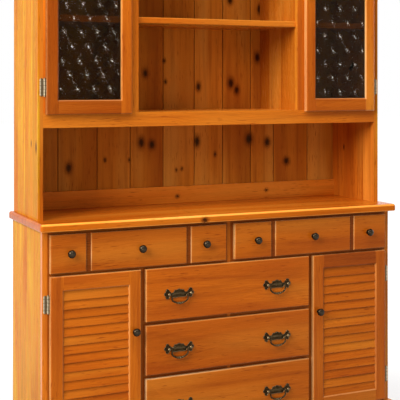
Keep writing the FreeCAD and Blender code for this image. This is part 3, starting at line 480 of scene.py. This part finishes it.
def metalMaterial(name, dark, bright, rough, polish=0.0, joints=()):
    # a patina clouds over the metal, thinner where the "wear" attribute is high and all over by the polish
    n = Nodes(name)
    place = n.place()
    cloud = n.noise(place, metal["cloud"], 3.0, 0.6)
    fine = n.noise(place, metal["fine"], 2.0, 0.6)
    bare = n.madd(cloud, metal["cloudShare"], polish)
    amount = n.ramp(n.madd(n.attribute("wear"), metal["wearShare"], bare), *metal["bare"])
    colour = n.mix(amount, dark, bright)
    # hinges: dark knuckle lines, dirt and painted shade beside the barrel, painted shade on its side towards
    # the door
    if joints:
        colour = n.mix(hingeDirtAndShade(n, place, joints), colour, dark)
    smoother, rougher = metal["gloss"]
    gloss = n.madd(fine, rougher, n.madd(amount, smoother, rough))
    return n.shade(colour, fine, *metal["bump"], Metallic=1.0, Roughness=gloss)


def plasticMaterial(name, dark, pale, often=300.0, rough=0.42, bump=(0.08, 0.0005)):
    n = Nodes(name)
    grime = n.noise(n.place(), often)
    return n.shade(n.mix(grime, dark, pale), grime, *bump, Roughness=rough)


antiqueBrass = metalMaterial("antiqueBrass", (0.024, 0.013, 0.0045), (0.15, 0.105, 0.052), 0.26)
knobBrass = metalMaterial("knobBrass", (0.011, 0.007, 0.0035), (0.042, 0.031, 0.02), 0.17)
paleBrass = metalMaterial("paleBrass", (0.06, 0.034, 0.012), (0.68, 0.58, 0.4), 0.3,
                          polish=0.36, joints=(0.202, 0.596, 1.327, 1.808))
catchPlastic = plasticMaterial("catchPlastic", (0.2, 0.1, 0.045), (0.26, 0.14, 0.07))


def putOn(mesh, node, ending, material, *replaced):
    # a piece is given its finish and carried by the node's body
    body, slot = nodes[node]["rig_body"], slotOf[node]
    mesh.materials.append(material)
    obj = inScene(node + ending, mesh)
    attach(obj, body)
    if replaced:
        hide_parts(*replaced)
    return obj


def newMesh(name, points, faces, *steps, **numbers):
    # a smooth mesh with numbers per vertex, for the materials to read; each step works on its bmesh
    mesh = bpy.data.meshes.new(name)
    mesh.from_pydata(points.reshape(-1, 3).tolist(), [], faces)
    for key, values in numbers.items():
        kind, field = ("FLOAT_VECTOR", "vector") if key == "grain" else ("FLOAT", "value")
        mesh.attributes.new(key, kind, "POINT").data.foreach_set(field, values.ravel())
    bm = bmesh.new()
    bm.from_mesh(mesh)
    for step in steps:
        step(bm)
    bm.to_mesh(mesh)
    bm.free()
    mesh.shade_smooth()
    return mesh


def gathered(items, key, width, kind=float):
    # one property of all the items, in rows of so many numbers
    values = np.empty(len(items) * width, kind)
    items.foreach_get(key, values)
    return values.reshape(-1, width)


weld = 2e5  # steps in a metre; corners in one step are one


def solidsOf(obj):
    # The node's loose triangles run solid by solid. Each edge gets a random number, with its sign turned when
    # it is walked the other way, so the running sum comes back to nought wherever a solid closes.
    points = gathered(obj.data.vertices, "co", 3)
    keys, ids = np.unique(np.round(points * weld).astype(int), axis=0, return_inverse=True)
    tris = ids.ravel()[gathered(obj.data.loops, "vertex_index", 1, int).reshape(-1, 3)]
    start, end = tris.ravel(), np.roll(tris, -1, axis=1).ravel()
    pairs, index = np.unique(np.minimum(start, end) * len(keys) + np.maximum(start, end), return_inverse=True)
    numbers = np.random.default_rng(seeds["edges"]).integers(1, 2**40, len(pairs))
    numbers = numbers[index.ravel()] * np.sign(end - start)
    closed = np.cumsum(numbers.reshape(-1, 3).sum(1)) == 0
    solid = np.repeat(np.concatenate([[0], np.cumsum(closed)[:-1]]), 3)
    corners = solid * len(keys) + tris.ravel()
    whole, first, inverse = np.unique(corners, return_index=True, return_inverse=True)
    return keys[whole % len(keys)] / weld, inverse.reshape(-1, 3), solid[first]


# nodes that took more stain, or less, and numbered boards in them: share of light
stains = {
    "left_top_drawer_front": 0.8,
    "right_top_drawer_front": 0.93,
    "upper_drawer_front": 0.9,
    "middle_drawer_front": 0.78,
    "lower_drawer_front": 0.87,
    "hutch_partitions": 0.88,
    "left_glass_door_frame": {0: 0.56, 1: 0.98, 2: 0.61, 3: 0.8},
    "right_glass_door_frame": {0: 1.04, 1: 0.96, 2: 0.8, 3: 0.86},
    "left_louvre_door_frame": {0: 0.97, 2: 0.9, 3: 0.9},
    "right_louvre_door_frame": {0: 0.84, 1: 0.8, 2: 0.8, 3: 0.54},
    "base_face_frame": {0: 1.1, 1: 1.2},
    "hutch_face_frame": {0: 1.11, 3: 1.25},
    "base_sides": 1.09,
    "hutch_open_shelf": 0.95,
}

# boards with a face that a shelf's housing cuts to a C; it is split where it turns back on itself
housed = ("base_sides", "base_partitions", "hutch_partitions")

# the boards' grain, faces and edges; angles in degrees
wood = {
    "slide": 5.0,  # a board is cut from anywhere in so many metres of grain
    "least": 0.000001,  # edges this short are dropped
    "flat": 0.6,  # faces that turn less than this become one
    "sharp": 34.0,
    "arris": 0.0006,  # every edge that turns more than the next angle is softened
    "arrisAngle": 40.0,
    "arrisSegments": 2,
    "rimSegments": 4,
    "atRim": 0.0001,  # an edge this near the node's box belongs to its rim
    "flatWeight": 80,
}


def boards(name, material, arris, axis, rim):
    # A merged copy of a node with its arrises softened. Every solid in it becomes a board with its own grain:
    # along its longest side (or the given axis), across the wider of the others, deep through the last. The
    # rim is the radius of the node's outer edges at its front. Returns the number of solids.
    points, tris, owner = solidsOf(nodes[name])
    count = owner.max() + 1
    grain, seed, stain = np.zeros_like(points), np.zeros(len(points)), np.ones(len(points))
    took = stains.get(name, 1.0)
    for number in range(count):
        mine = owner == number
        low, high = points[mine].min(0), points[mine].max(0)
        order = list(np.argsort(low - high))
        if axis is not None:
            order = [axis] + [i for i in order if i != axis]
        wide = (high - low)[order[1]]
        slack = pine["stave"] - wide if wide < pine["stave"] else pine["stave"]  # a narrow board is one stave
        grain[mine] = (points[mine] - low)[:, order] + rng.random(3) * (wood["slide"], slack, 0.0)
        seed[mine] = rng.random()
        stain[mine] = took.get(number, 1.0) if isinstance(took, dict) else took

    def clean(bm):
        bmesh.ops.dissolve_degenerate(bm, dist=wood["least"], edges=bm.edges)
        bmesh.ops.dissolve_limit(bm, angle_limit=math.radians(wood["flat"]), verts=bm.verts, edges=bm.edges)
        if name in housed:
            bmesh.ops.connect_verts_concave(bm, faces=bm.faces)

    mesh = newMesh(name + "_wood", points, tris.tolist(), clean, grain=grain, seed=seed, stain=stain)
    mesh.set_sharp_from_angle(angle=math.radians(wood["sharp"]))
    piece = putOn(mesh, name, "_wood", material, name)
    if rim:
        ends = gathered(mesh.vertices, "co", 3)[gathered(mesh.edges, "vertices", 2, int)]
        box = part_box(name)
        atFront = (np.abs(ends[:, :, 1] - box[0][1]) < wood["atRim"]).all(1)
        atSide = [(np.abs(ends[:, :, i] - face[i]) < wood["atRim"]).all(1) for i in (0, 2) for face in box]
        weight = mesh.attributes.new("bevel_weight_edge", "FLOAT", "EDGE")
        weight.data.foreach_set("value", (atFront & np.any(atSide, axis=0)).astype(float))
        given(piece.modifiers.new("rim", "BEVEL"), width=rim, segments=wood["rimSegments"],
              limit_method="WEIGHT")
    given(piece.modifiers.new("arris", "BEVEL"), width=arris, segments=wood["arrisSegments"],
          limit_method="ANGLE", angle_limit=math.radians(wood["arrisAngle"]))
    given(piece.modifiers.new("flatFaces", "WEIGHTED_NORMAL"), keep_sharp=True, weight=wood["flatWeight"])
    return count


sideways, upright = 0, 2
drawers = ("left_top_drawer", "right_top_drawer", "lower_drawer", "middle_drawer", "upper_drawer")
doors = ("left_louvre_door", "right_louvre_door", "left_glass_door", "right_glass_door")
boardPieces = (
    (topPine, sideways, ("worktop",)),
    (sidePine, upright, ("base_sides", "hutch_sides")),
    (framePine, None, ("base_face_frame",)),
    (casePine, None, ("hutch_face_frame", "plinth_boards", "cornice_moulding", "hutch_open_shelf",
                      "hutch_top_board")),
    (partitionPine, upright, ("hutch_partitions", "base_partitions")),
    (railPine, sideways, ("hutch_back_rail",)),
    (shelfPine, sideways, ("hutch_floor_board",)),
    (insidePine, sideways, ("cupboard_shelves", "dust_board", "base_floor_board")),
    (backPine, upright, ("base_back_boards", "hutch_back_boards")),
    (frontPine, None, [drawer + "_front" for drawer in drawers] + [door + "_frame" for door in doors]),
    (slatPine, sideways, ("left_louvre_door_slats", "right_louvre_door_slats")),
    (drawerPine, None, [drawer + "_box" for drawer in drawers] + ["drawer_runners", "hutch_dowels"]),
)
rims = {frontPine: 0.0024, casePine: 0.0014}
arrises = {backPine: 0.0015}
solidCount = 0
for material, axis, names in boardPieces:
    for name in names:
        solidCount += boards(name, material, arrises.get(material, wood["arris"]), axis, rims.get(material))
print("boards dressed,", solidCount, "solids")


def outward(bm):
    bmesh.ops.recalc_face_normals(bm, faces=bm.faces)


def gridMesh(name, points, wrap=False, caps=False, merge=0.00002, **numbers):
    # an array of points [u, v, xyz] becomes quads between neighbours; wrap joins the last v to the first,
    # caps close the first and last u
    rows, columns = points.shape[:2]
    number = np.arange(rows * columns).reshape(rows, columns)
    ring = np.hstack([number, number[:, :1]]) if wrap else number
    quads = np.stack([ring[:-1, :-1], ring[1:, :-1], ring[1:, 1:], ring[:-1, 1:]], -1).reshape(-1, 4).tolist()
    if caps:
        quads += [number[0].tolist(), number[-1][::-1].tolist()]

    def clean(bm):
        bmesh.ops.remove_doubles(bm, verts=bm.verts, dist=merge)
        bmesh.ops.dissolve_degenerate(bm, dist=merge / 2, edges=bm.edges)
        outward(bm)

    return newMesh(name, points, quads, clean, **numbers)


def merged(name, meshes):
    # several meshes as one
    bm = bmesh.new()
    result = bpy.data.meshes.new(name)
    for mesh in meshes:
        bm.from_mesh(mesh)
        bpy.data.meshes.remove(mesh)
    bm.to_mesh(result)
    bm.free()
    result.shade_smooth()
    return result


def smoothProfile(points, steps):
    # a Catmull-Rom curve through the points: on each span the cubic that keeps the neighbours' slopes;
    # millimetres in, metres out
    p = np.array(points, float)
    p = np.vstack([2 * p[0] - p[1], p, 2 * p[-1] - p[-2]])
    t = np.linspace(0.0, 1.0, steps, endpoint=False)[:, None, None]
    a, b, c, d = p[:-3], p[1:-2], p[2:-1], p[3:]
    curve = 0.5 * (2 * b + (c - a) * t + (2 * a - 5 * b + 4 * c - d) * t**2 + (3 * b - a - 3 * c + d) * t**3)
    curve = np.vstack([curve.transpose(1, 0, 2).reshape(-1, 2), p[-2:-1]])
    return np.stack([np.clip(curve[:, 0], 0.0, None), curve[:, 1]], -1) / 1000.0


def turnedMesh(part, centre):
    # A profile (radius, reach) turned about a line that runs forward (-Y) from the centre: x = r cos a,
    # z = r sin a, y = -reach. Beyond "wearFrom" the patina gets thinner, by a power of the reach.
    profile = smoothProfile(part["profile"], part["steps"])
    radius, reach = profile[:, :1], profile[:, 1:]
    angle = np.linspace(0.0, 2 * np.pi, part["segments"], endpoint=False)
    x = centre[0] + radius * np.cos(angle)
    z = centre[2] + radius * np.sin(angle)
    y = centre[1] - reach + 0.0 * angle
    wear = np.clip((reach - part["wearFrom"]) / part["wearOver"], 0, 1) ** part["wearPower"] + 0.0 * angle
    return gridMesh("turned", np.stack([x, y, z], -1), wrap=True, wear=wear)


def solidCentres(name, least=0.012):
    # the middle of each solid of a node that is wider than the least size
    points, _, owner = solidsOf(nodes[name])
    spans = [(points[owner == i].min(0), points[owner == i].max(0)) for i in range(owner.max() + 1)]
    return [(low + high) / 2 for low, high in spans if (high - low)[0] > least]


# turned knobs: (radius, reach) in millimetres, from the foot to the dome; wear in metres
knob = {
    "profile": ((0.0, 0.0), (8.5, 0.0), (8.5, 0.9), (8.1, 1.9), (6.6, 2.4), (5.6, 3.4), (5.4, 5.2),
                (5.5, 7.2), (7.2, 9.0), (10.6, 11.2), (13.0, 12.8), (14.0, 15.2), (13.6, 18.0),
                (11.9, 20.6), (9.3, 23.0), (6.3, 24.9), (3.0, 25.8), (0.0, 26.0)),
    "steps": 4,
    "segments": 56,
    "wearFrom": 0.012,
    "wearOver": 0.014,
    "wearPower": 2,
}
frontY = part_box("upper_drawer_front")[0][1]
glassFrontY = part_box("left_glass_door_frame")[0][1]
for name in [drawer + "_knobs" for drawer in drawers[:2]] + [door + "_knob" for door in doors]:
    faceY = glassFrontY if "glass" in name else frontY
    mesh = merged(name + "_turned", [turnedMesh(knob, (x, faceY, z)) for x, _, z in solidCentres(name)])
    putOn(mesh, name, "_turned", knobBrass, name)
print("knobs turned")

# back plates of the bail pulls, in millimetres from the plate's middle
plate = {
    "thick": 2.5,
    "ends": 42.0,  # the posts' distance from the middle
    "discs": ((42.0, 0.0, 11.6), (44.8, 10.6, 7.0), (44.8, -10.6, 7.0), (50.6, 0.0, 7.2),  # x, z, radius
              (15.5, 9.6, 3.8), (0.0, 6.5, 9.8)),  # lobes of the crest
    "upper": ((0.0, 15.0), (9.0, 13.4), (15.5, 11.5), (19.0, 7.5), (24.0, 3.8), (31.0, 3.6), (46.0, 3.6)),
    "lower": ((0.0, 13.2), (10.0, 14.0), (22.0, 14.0), (27.5, 12.5), (29.0, 9.0), (31.5, 4.2), (46.0, 4.0)),
    "endReach": 4.0,  # least reach round the ends
    "insets": (0.0, 0.0, 0.25, 0.8, 1.5, 2.1, 2.7),  # rings inside the outline
    "heights": (0.0, 0.62, 0.92, 1.0, 0.9, 0.58, 0.5),  # share of the thickness they stand out
    "innermost": 0.5,  # the rings' least reach
    "crown": ((0.78, 0.52), (0.55, 0.66), (0.3, 0.8), (0.0, 0.86)),  # share of the reach, height share
    "rays": 420,
    "smooth": (0.25, 0.5, 0.25),  # a ray's reach becomes this mean with its neighbours
    "smoothTimes": 3,
    "wearDeep": 0.35,  # the patina is thin down to so far below the rim's crest
}
# the posts that carry the bails: (radius, reach) in millimetres; wear in metres
post = {
    "profile": ((0.0, 0.0), (6.4, 0.0), (6.6, 2.6), (5.9, 3.6), (4.2, 4.2), (3.9, 5.0), (4.6, 5.6),
                (5.9, 7.4), (6.3, 10.0), (5.7, 12.6), (4.2, 14.9), (2.0, 16.2), (0.0, 16.5)),
    "steps": 3,
    "segments": 32,
    "wearFrom": 0.007,
    "wearOver": 0.008,
    "wearPower": 1,
}


def plateMesh(cx, cz):
    # Rays leave a middle line: straight up and down from it, and fanned round its ends. The outline is where
    # a ray leaves the discs and the two edge curves: a ray from o along d leaves a disc at c with radius r at
    # d.(c - o) + sqrt((d.(c - o))^2 - |c - o|^2 + r^2). Rings inside the outline give the side wall, a rolled
    # rim, a sunk field and a low crown.
    half, count = plate["ends"], plate["rays"]
    share = np.arange(count) / count * 4.0
    side = np.floor(share)
    t = share - side
    straight = half - 2 * half * t
    first = [side == 0, side == 1, side == 2]
    ox = np.select(first, [straight, -half, -straight], half)
    angle = np.select(first, [np.pi / 2, np.pi / 2 + np.pi * t, 1.5 * np.pi], 1.5 * np.pi + np.pi * t)
    dx, dz = np.cos(angle), np.sin(angle)
    upper, lower = (np.interp(np.abs(ox), *np.array(plate[key]).T) for key in ("upper", "lower"))
    reach = np.select([side == 0, side == 2], [upper, lower], plate["endReach"])
    for x, z, r in plate["discs"]:
        for middle in (x, -x):
            b = (middle - ox) * dx + z * dz
            root = b * b - ((middle - ox) ** 2 + z * z - r * r)
            reach = np.maximum(reach, np.where(root > 0, b + np.sqrt(np.clip(root, 0, None)), 0.0))
    for _ in range(plate["smoothTimes"]):
        reach = np.convolve(np.concatenate([reach[-1:], reach, reach[:1]]), plate["smooth"], "valid")
    rings = np.clip(reach - np.array(plate["insets"])[:, None], plate["innermost"], None)
    shares, crown = np.array(plate["crown"]).T
    rings = np.vstack([0.0 * reach, rings, shares[:, None] * rings[-1]])
    height = plate["thick"] * np.concatenate([[0.0], plate["heights"], crown])[:, None] + 0.0 * reach
    points = np.stack([cx + (ox + rings * dx) / 1000, frontY - height / 1000, cz + rings * dz / 1000], -1)
    wear = np.exp(-(((height - plate["thick"]) / plate["wearDeep"]) ** 2))
    return gridMesh("plate", points, wrap=True, wear=wear)


wireTop = 0.0028  # a bail's pivots lie this far below its highest point
bails = {}  # the point between the pivots
for drawer in drawers[2:]:
    meshes = []
    for side in ("left", "right"):
        bail = drawer + "_" + side + "_bail"
        low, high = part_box(bail)
        bails[bail] = cx, cz = (low[0] + high[0]) / 2, high[2] - wireTop
        meshes.append(plateMesh(cx, cz))
        for s in (-1, 1):
            meshes.append(turnedMesh(post, (cx + s * plate["ends"] / 1000, frontY, cz)))
    name = drawer + "_pull_plates"
    putOn(merged(name + "_cast", meshes), name, "_cast", antiqueBrass, name)

# bails, in millimetres
handle = {
    "axis": 10.0,  # distance of the pivots from the drawer's face
    "pivot": 44.9,
    "leg": 31.0,
    "elbow": 4.5,
    "straight": 3.0,  # between the pivot's end and the elbow
    "legEnds": (1.6, 1.0),  # the leg's points end this far from elbow and bow
    "drop": 32.5,
    "bow": 17.0,
    "wire": 2.9,
    "grip": 4.8,  # radius of the turned bulb in the middle of the bow
    "gripWide": 4.6,
    "beads": ((8.2, 1.5, 1.2), (11.0, 1.3, 0.9), (13.6, 0.9, 0.7)),  # how far from it, rise, half width
    "segments": 20,
    "wear": (0.12, 0.6, 2.0),  # on the wire, what the bulb adds, the rise where it is full
}


def bailMesh(cx, cz):
    # A circle carried along a line in the plane y = const: pivot, quarter-circle elbow, leg, half an ellipse,
    # and the same back. Its radius is the wire's plus a bulb and beads, bell curves exp(-(x/w)^2) about their
    # places.
    h = handle
    t = np.linspace(0.0, np.pi / 2, 7)
    elbow = np.stack([h["leg"] + h["elbow"] * (1 - np.sin(t)), h["elbow"] * (np.cos(t) - 1)], -1)
    top = np.array([[h["pivot"], 0.0], [h["leg"] + h["elbow"] + h["straight"], 0.0]])
    footZ = h["bow"] - h["drop"]
    legZ = np.linspace(-h["elbow"] - h["legEnds"][0], footZ + h["legEnds"][1], 5)
    leg = np.stack([np.full(5, h["leg"]), legZ], -1)
    turn = np.linspace(0.0, np.pi, 121)
    bow = np.stack([h["leg"] * np.cos(turn), footZ - h["bow"] * np.sin(turn)], -1)
    right = np.vstack([top, elbow, leg])
    path = np.vstack([right, bow, right[::-1] * (-1, 1)])
    tangent = np.gradient(path, axis=0)
    tangent /= np.linalg.norm(tangent, axis=1)[:, None]
    normal = np.stack([-tangent[:, 1], tangent[:, 0]], -1)
    fromMiddle = np.abs(path[:, 0])
    low = path[:, 1] < footZ
    radius = h["wire"] + low * (h["grip"] - h["wire"]) * np.exp(-((fromMiddle / h["gripWide"]) ** 2))
    for place, rise, wide in h["beads"]:
        radius = radius + low * rise * np.exp(-(((fromMiddle - place) / wide) ** 2))
    radius = radius[:, None]
    angle = np.linspace(0.0, 2 * np.pi, h["segments"], endpoint=False)
    tube = np.stack([path[:, :1] + radius * normal[:, :1] * np.cos(angle),
                     -h["axis"] - radius * np.sin(angle),
                     path[:, 1:] + radius * normal[:, 1:] * np.cos(angle)], -1)
    ends = [np.broadcast_to([x, -h["axis"], z], (1, h["segments"], 3)) for x, z in (path[0], path[-1])]
    tube = np.concatenate([ends[0], tube, ends[1]]) / 1000.0 + (cx, frontY, cz)
    least, more, full = h["wear"]
    wear = np.clip((radius - h["wire"]) / full, 0, 1) * more + least
    return gridMesh("bail", tube, wrap=True, wear=np.pad(wear, ((1, 1), (0, 0))) + 0.0 * angle)


for name, centre in bails.items():
    putOn(bailMesh(*centre), name, "_wire", antiqueBrass, name)
print("pulls made")

# patterned glass: a lattice of pillows that meet in puckered points, with pale beads round them as painted
# glints
glass = {
    "tint": (0.39, 0.37, 0.26),
    "darker": 0.7,  # share of light in the darker places
    "clouds": 9.0,  # how many of them in a metre
    "rough": 0.04,
    "mirror": (0.14, 0.12, 0.09),  # seen straight on
    "ripple": (260.0, 0.1, 0.0004),  # how many in a metre, strength, height
    "pillow": 0.0009,
    "pillowPower": 0.6,
    "pucker": 0.0012,
    "puckerWide": 0.005,
    "cell": 0.0019,
    "rim": (0.008, 0.003),  # where the relief starts, and over how much it grows
    "sharp": 60.0,
    # pale colour of the beads that stand in for glints: painted glints
    "bead": (1.0, 0.8, 0.6),
    "beadLevels": (170.0, (0.36, 0.4), (0.5, 1.0)),
    # a lattice point (x, z), the step along a row, the step to the next row, share of glint beads on the
    # lines
    "left": ((-0.4362, 1.321), 0.061, (-0.0271, 0.049), 1.0),
    "right": ((0.5142, 1.3074), 0.0685, (-0.03425, 0.0538), 0.0),
    "rows": (-3, 14),
    "columns": (-8, 12),
}
# painted glints, pale beads round a lattice point: how many, spread along and across, length, width, how far
# they turn
beads = (
    ("heart", 2, 0.0016, 0.0008, (0.0034, 0.0046), (0.0026, 0.0034), 0.4),
    ("core", 6, 0.0066, 0.0024, (0.0018, 0.0028), (0.0012, 0.0017), 0.8),
    ("halo", 17, 0.012, 0.01, (0.0012, 0.002), (0.0007, 0.0011), 3.0),
    ("line", 5, 0.0, 0.0034, (0.0014, 0.0024), (0.0008, 0.0012), 1.5),
)
# a painted glint's shape: rings of so many sides, as shares of its size and of its height
dome = {
    "sides": 8,
    "sizes": (1.0, 0.86, 0.45),
    "rises": (-0.3, 0.45, 0.9),  # the first ring is sunk into the pane
    "height": 0.0006,
    "margin": 0.014,  # no painted glints nearer to the pane's rim
}


def glassMaterial(name):
    # dark clear glass; a fine ripple is drawn in Object coordinates
    n = Nodes(name)
    scale, *bump = glass["ripple"]
    darker = tuple(glass["darker"] * c for c in glass["tint"])
    tint = n.mix(n.noise(n.place(), glass["clouds"]), glass["tint"], darker)
    return n.shade(tint, n.noise(n.place(), scale), *bump, Roughness=glass["rough"], IOR=1.5,
                   Transmission_Weight=1.0, Specular_Tint=glass["mirror"])


def glintPaintMaterial(name):
    # painted glints: milky glass beads, some brighter than others
    n = Nodes(name)
    scale, *stops = glass["beadLevels"]
    level = n.ramp(n.noise(n.place(), scale, 1.0), *stops)
    return n.shade(n.times(level, glass["bead"]), level, 0.05, 0.0002, Roughness=0.12)


patternGlass = glassMaterial("patternGlass")
beadGlass = glintPaintMaterial("beadGlass")


def relief(side, x, z):
    # How far the pane stands out: pillow * |sin(pi u) sin(pi (u + v))|^power - pucker * bell(r), where u
    # counts steps along a row, v counts rows and r is the distance from the nearest lattice point.
    (px, pz), column, up, _ = glass[side]
    v = (z - pz) / up[1]
    u = (x - px - v * up[0]) / column
    du, dv = u - np.round(u), v - np.round(v)
    distance = np.hypot(du * column + dv * up[0], dv * up[1])
    pillow = np.abs(np.sin(np.pi * u) * np.sin(np.pi * (u + v))) ** glass["pillowPower"]
    return glass["pillow"] * pillow - glass["pucker"] * np.exp(-((distance / glass["puckerWide"]) ** 2))


def paneMesh(name, side, low, high):
    # a grid over the pane, its front raised by the relief, which fades out at the rim
    xs, zs = (np.linspace(low[i], high[i], int((high[i] - low[i]) / glass["cell"])) for i in (0, 2))
    x, z = np.meshgrid(xs, zs, indexing="ij")
    edge = np.minimum.reduce([x - low[0], high[0] - x, z - low[2], high[2] - z])
    start, fade = glass["rim"]
    height = relief(side, x, z) * np.clip((edge - start) / fade, 0, 1)
    front = np.stack([x, low[1] - height, z], -1)
    back = front[:, [-1, 0]] * (1, 0, 1) + (0, high[1], 0)
    return gridMesh(name, np.concatenate([front, back], axis=1), wrap=True, caps=True, merge=0.000001)


def glintBeadsMesh(name, side, low, high):
    # Painted glints: one low dome, an ellipse of a few rings, is set down at every bead's place: turned,
    # stretched to its length and width and sunk a little into the pane.
    (px, pz), column, up, lines = glass[side]
    draw = np.random.default_rng(seeds["beads"])
    v, u = np.meshgrid(np.arange(*glass["rows"]), np.arange(*glass["columns"]), indexing="ij")
    points = np.stack([px + u * column + v * up[0], pz + v * up[1]], -1).reshape(-1, 2)
    direction = np.array(up) / np.hypot(*up)
    normal = np.array([direction[1], -direction[0]])
    table = []
    for kind, count, spreadAlong, spreadAcross, lengths, widths, turn in beads:
        count = int(round(count * lines)) if kind == "line" else count
        home = np.repeat(points, count, axis=0)
        if kind == "line":
            home = home + draw.random((len(home), 1)) * np.array(up)
        home = home + draw.normal(0, 1, (len(home), 1)) * spreadAlong * direction
        home = home + draw.normal(0, 1, (len(home), 1)) * spreadAcross * normal
        angle = np.arctan2(direction[1], direction[0]) + draw.uniform(-turn, turn, len(home))
        length = draw.uniform(*lengths, len(home))
        table.append(np.column_stack([home, length, draw.uniform(*widths, len(home)), angle]))
    x, z, length, width, angle = np.vstack(table).T
    edge = np.minimum.reduce([x - low[0], high[0] - x, z - low[2], high[2] - z])
    inside = edge > dome["margin"]
    x, z, length, width, angle = (values[inside, None, None] for values in (x, z, length, width, angle))
    sides, rings = dome["sides"], len(dome["sizes"])
    ring = np.arange(sides) / sides * 2 * np.pi
    size = np.array(dome["sizes"])[:, None]
    rise = np.array(dome["rises"])[:, None] * dome["height"]
    along, across = size * np.cos(ring) * length / 2, size * np.sin(ring) * width / 2
    foot = low[1] - relief(side, x, z)
    shell = np.stack([x + along * np.cos(angle) - across * np.sin(angle), foot - rise + 0 * along,
                      z + along * np.sin(angle) + across * np.cos(angle)], -1).reshape(-1, sides * rings, 3)
    peak = np.stack([x, foot - dome["height"], z], -1).reshape(-1, 1, 3)
    vertices = np.concatenate([shell, peak], axis=1)
    step = np.arange(sides)
    after = (step + 1) % sides
    starts = range(0, sides * (rings - 1), sides)
    walls = np.concatenate([np.stack([r + step, r + after, r + sides + after, r + sides + step], -1)
                            for r in starts])
    last = sides * (rings - 1)
    tops = np.stack([last + step, last + after, last + sides + 0 * step], -1)
    first = (np.arange(len(vertices)) * vertices.shape[1])[:, None, None]
    faces = [face for part in (walls, tops, step[None, ::-1])
             for face in (first + part).reshape(-1, part.shape[1]).tolist()]
    return newMesh(name, vertices, faces, outward)


for side in ("left", "right"):
    name = side + "_glass_door_pane"
    mesh = paneMesh(name + "_pressed", side, *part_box(name))
    mesh.set_sharp_from_angle(angle=math.radians(glass["sharp"]))
    putOn(mesh, name, "_pressed", patternGlass, name)
    # pale beads over the pane: painted glints
    putOn(glintBeadsMesh(name + "_beads", side, *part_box(name)), name, "_beads", beadGlass)
print("panes pressed")

# the other metal and the catches keep their shape and get their finish
finishes = {"antique_brass": antiqueBrass, "pale_brass": paleBrass, "catch_case": catchPlastic}
for name, obj in nodes.items():
    finish = finishes.get(slotOf[name])
    if finish:
        obj.data.materials.clear()
        obj.data.materials.append(finish)

# floor and world
studio = {
    "floor": (0.36, 0.355, 0.35),
    "floorClouds": (3.0, 0.96),  # how many in a metre, share of light in them
    "floorHalf": 30.0,
    "floorGlow": (0.9, 2.0, 0.66, 1.0),  # from and to this far away, the glow there and there
    "ambient": 0.12,
}
white = (1.0, 1.0, 1.0)
# softboxes: place, target, size, power, colour
lamps = {
    "leftBox": ((-6.2, -3.1, 4.6), (-0.3, 0.0, 0.9), (4.2, 4.6), 830.0, (1.0, 0.97, 0.93)),
    "topBox": ((-0.4, -1.6, 4.0), (0.0, -0.1, 0.8), (3.0, 0.9), 64.0, white),
    "frontFill": ((-0.7, -5.2, 1.3), (0.0, 0.0, 0.9), (2.0, 1.6), 24.0, white),
    "rightFill": ((4.8, 1.4, 2.6), (0.0, 0.0, 0.9), (3.4, 3.4), 110.0, white),
    "rearFill": ((2.2, 5.0, 2.6), (0.0, 0.0, 0.9), (3.0, 3.0), 150.0, white),
    "glintLow": ((-2.5, -3.4, 0.6), (0.0, 0.0, 1.5), (0.12, 0.12), 6.0, white),
    "glintHigh": ((0.6, -4.4, 3.0), (0.0, 0.0, 1.5), (0.12, 0.12), 6.0, white),
}


def floorMaterial(name):
    # diffuse; the eye, gloss and glass also see a white glow, weaker near the object so its shadow shows
    n = Nodes(name)
    place = n.place()
    scale, share = studio["floorClouds"]
    tone = n.mix(n.noise(place, scale), studio["floor"], tuple(share * c for c in studio["floor"]))
    diffuse = n.feedAll(n.add("BsdfDiffuse"), tone)
    strength = n.smoothRange(n.vector("LENGTH", place), *studio["floorGlow"])
    glow = n.feedNamed(n.add("Emission"), Strength=n.mul(n.seen(), strength))
    return n.finish(n.feedAll(n.add("AddShader"), diffuse.outputs[0], glow.outputs[0]))


floorCorners = studio["floorHalf"] * np.array([(-1, -1, 0), (1, -1, 0), (1, 1, 0), (-1, 1, 0)])
floorMesh = newMesh("floor", floorCorners, [(0, 1, 2, 3)])
floorMesh.materials.append(floorMaterial("paleFloor"))
floor = inScene("floor", floorMesh)

for name, (place, target, size, power, colour) in lamps.items():
    lamp = given(bpy.data.lights.new(name, "AREA"), shape="RECTANGLE", size=size[0], size_y=size[1],
                 energy=power, color=colour)
    aim = (Vector(target) - Vector(place)).to_track_quat("-Z", "Y").to_euler()
    given(inScene(name, lamp), location=place, rotation_euler=aim, visible_camera=False)

# a white world for the eye, gloss and glass, a faint one for the light on things
n = Nodes("studio", bpy.data.worlds, "OutputWorld")
strength = n.feedAll(n.add("MapRange"), n.seen(), 0.0, 1.0, studio["ambient"], 1.0)
scene.world = n.finish(n.feedAll(n.add("Background"), white, strength.outputs[0]))
print("stage and lamps set")
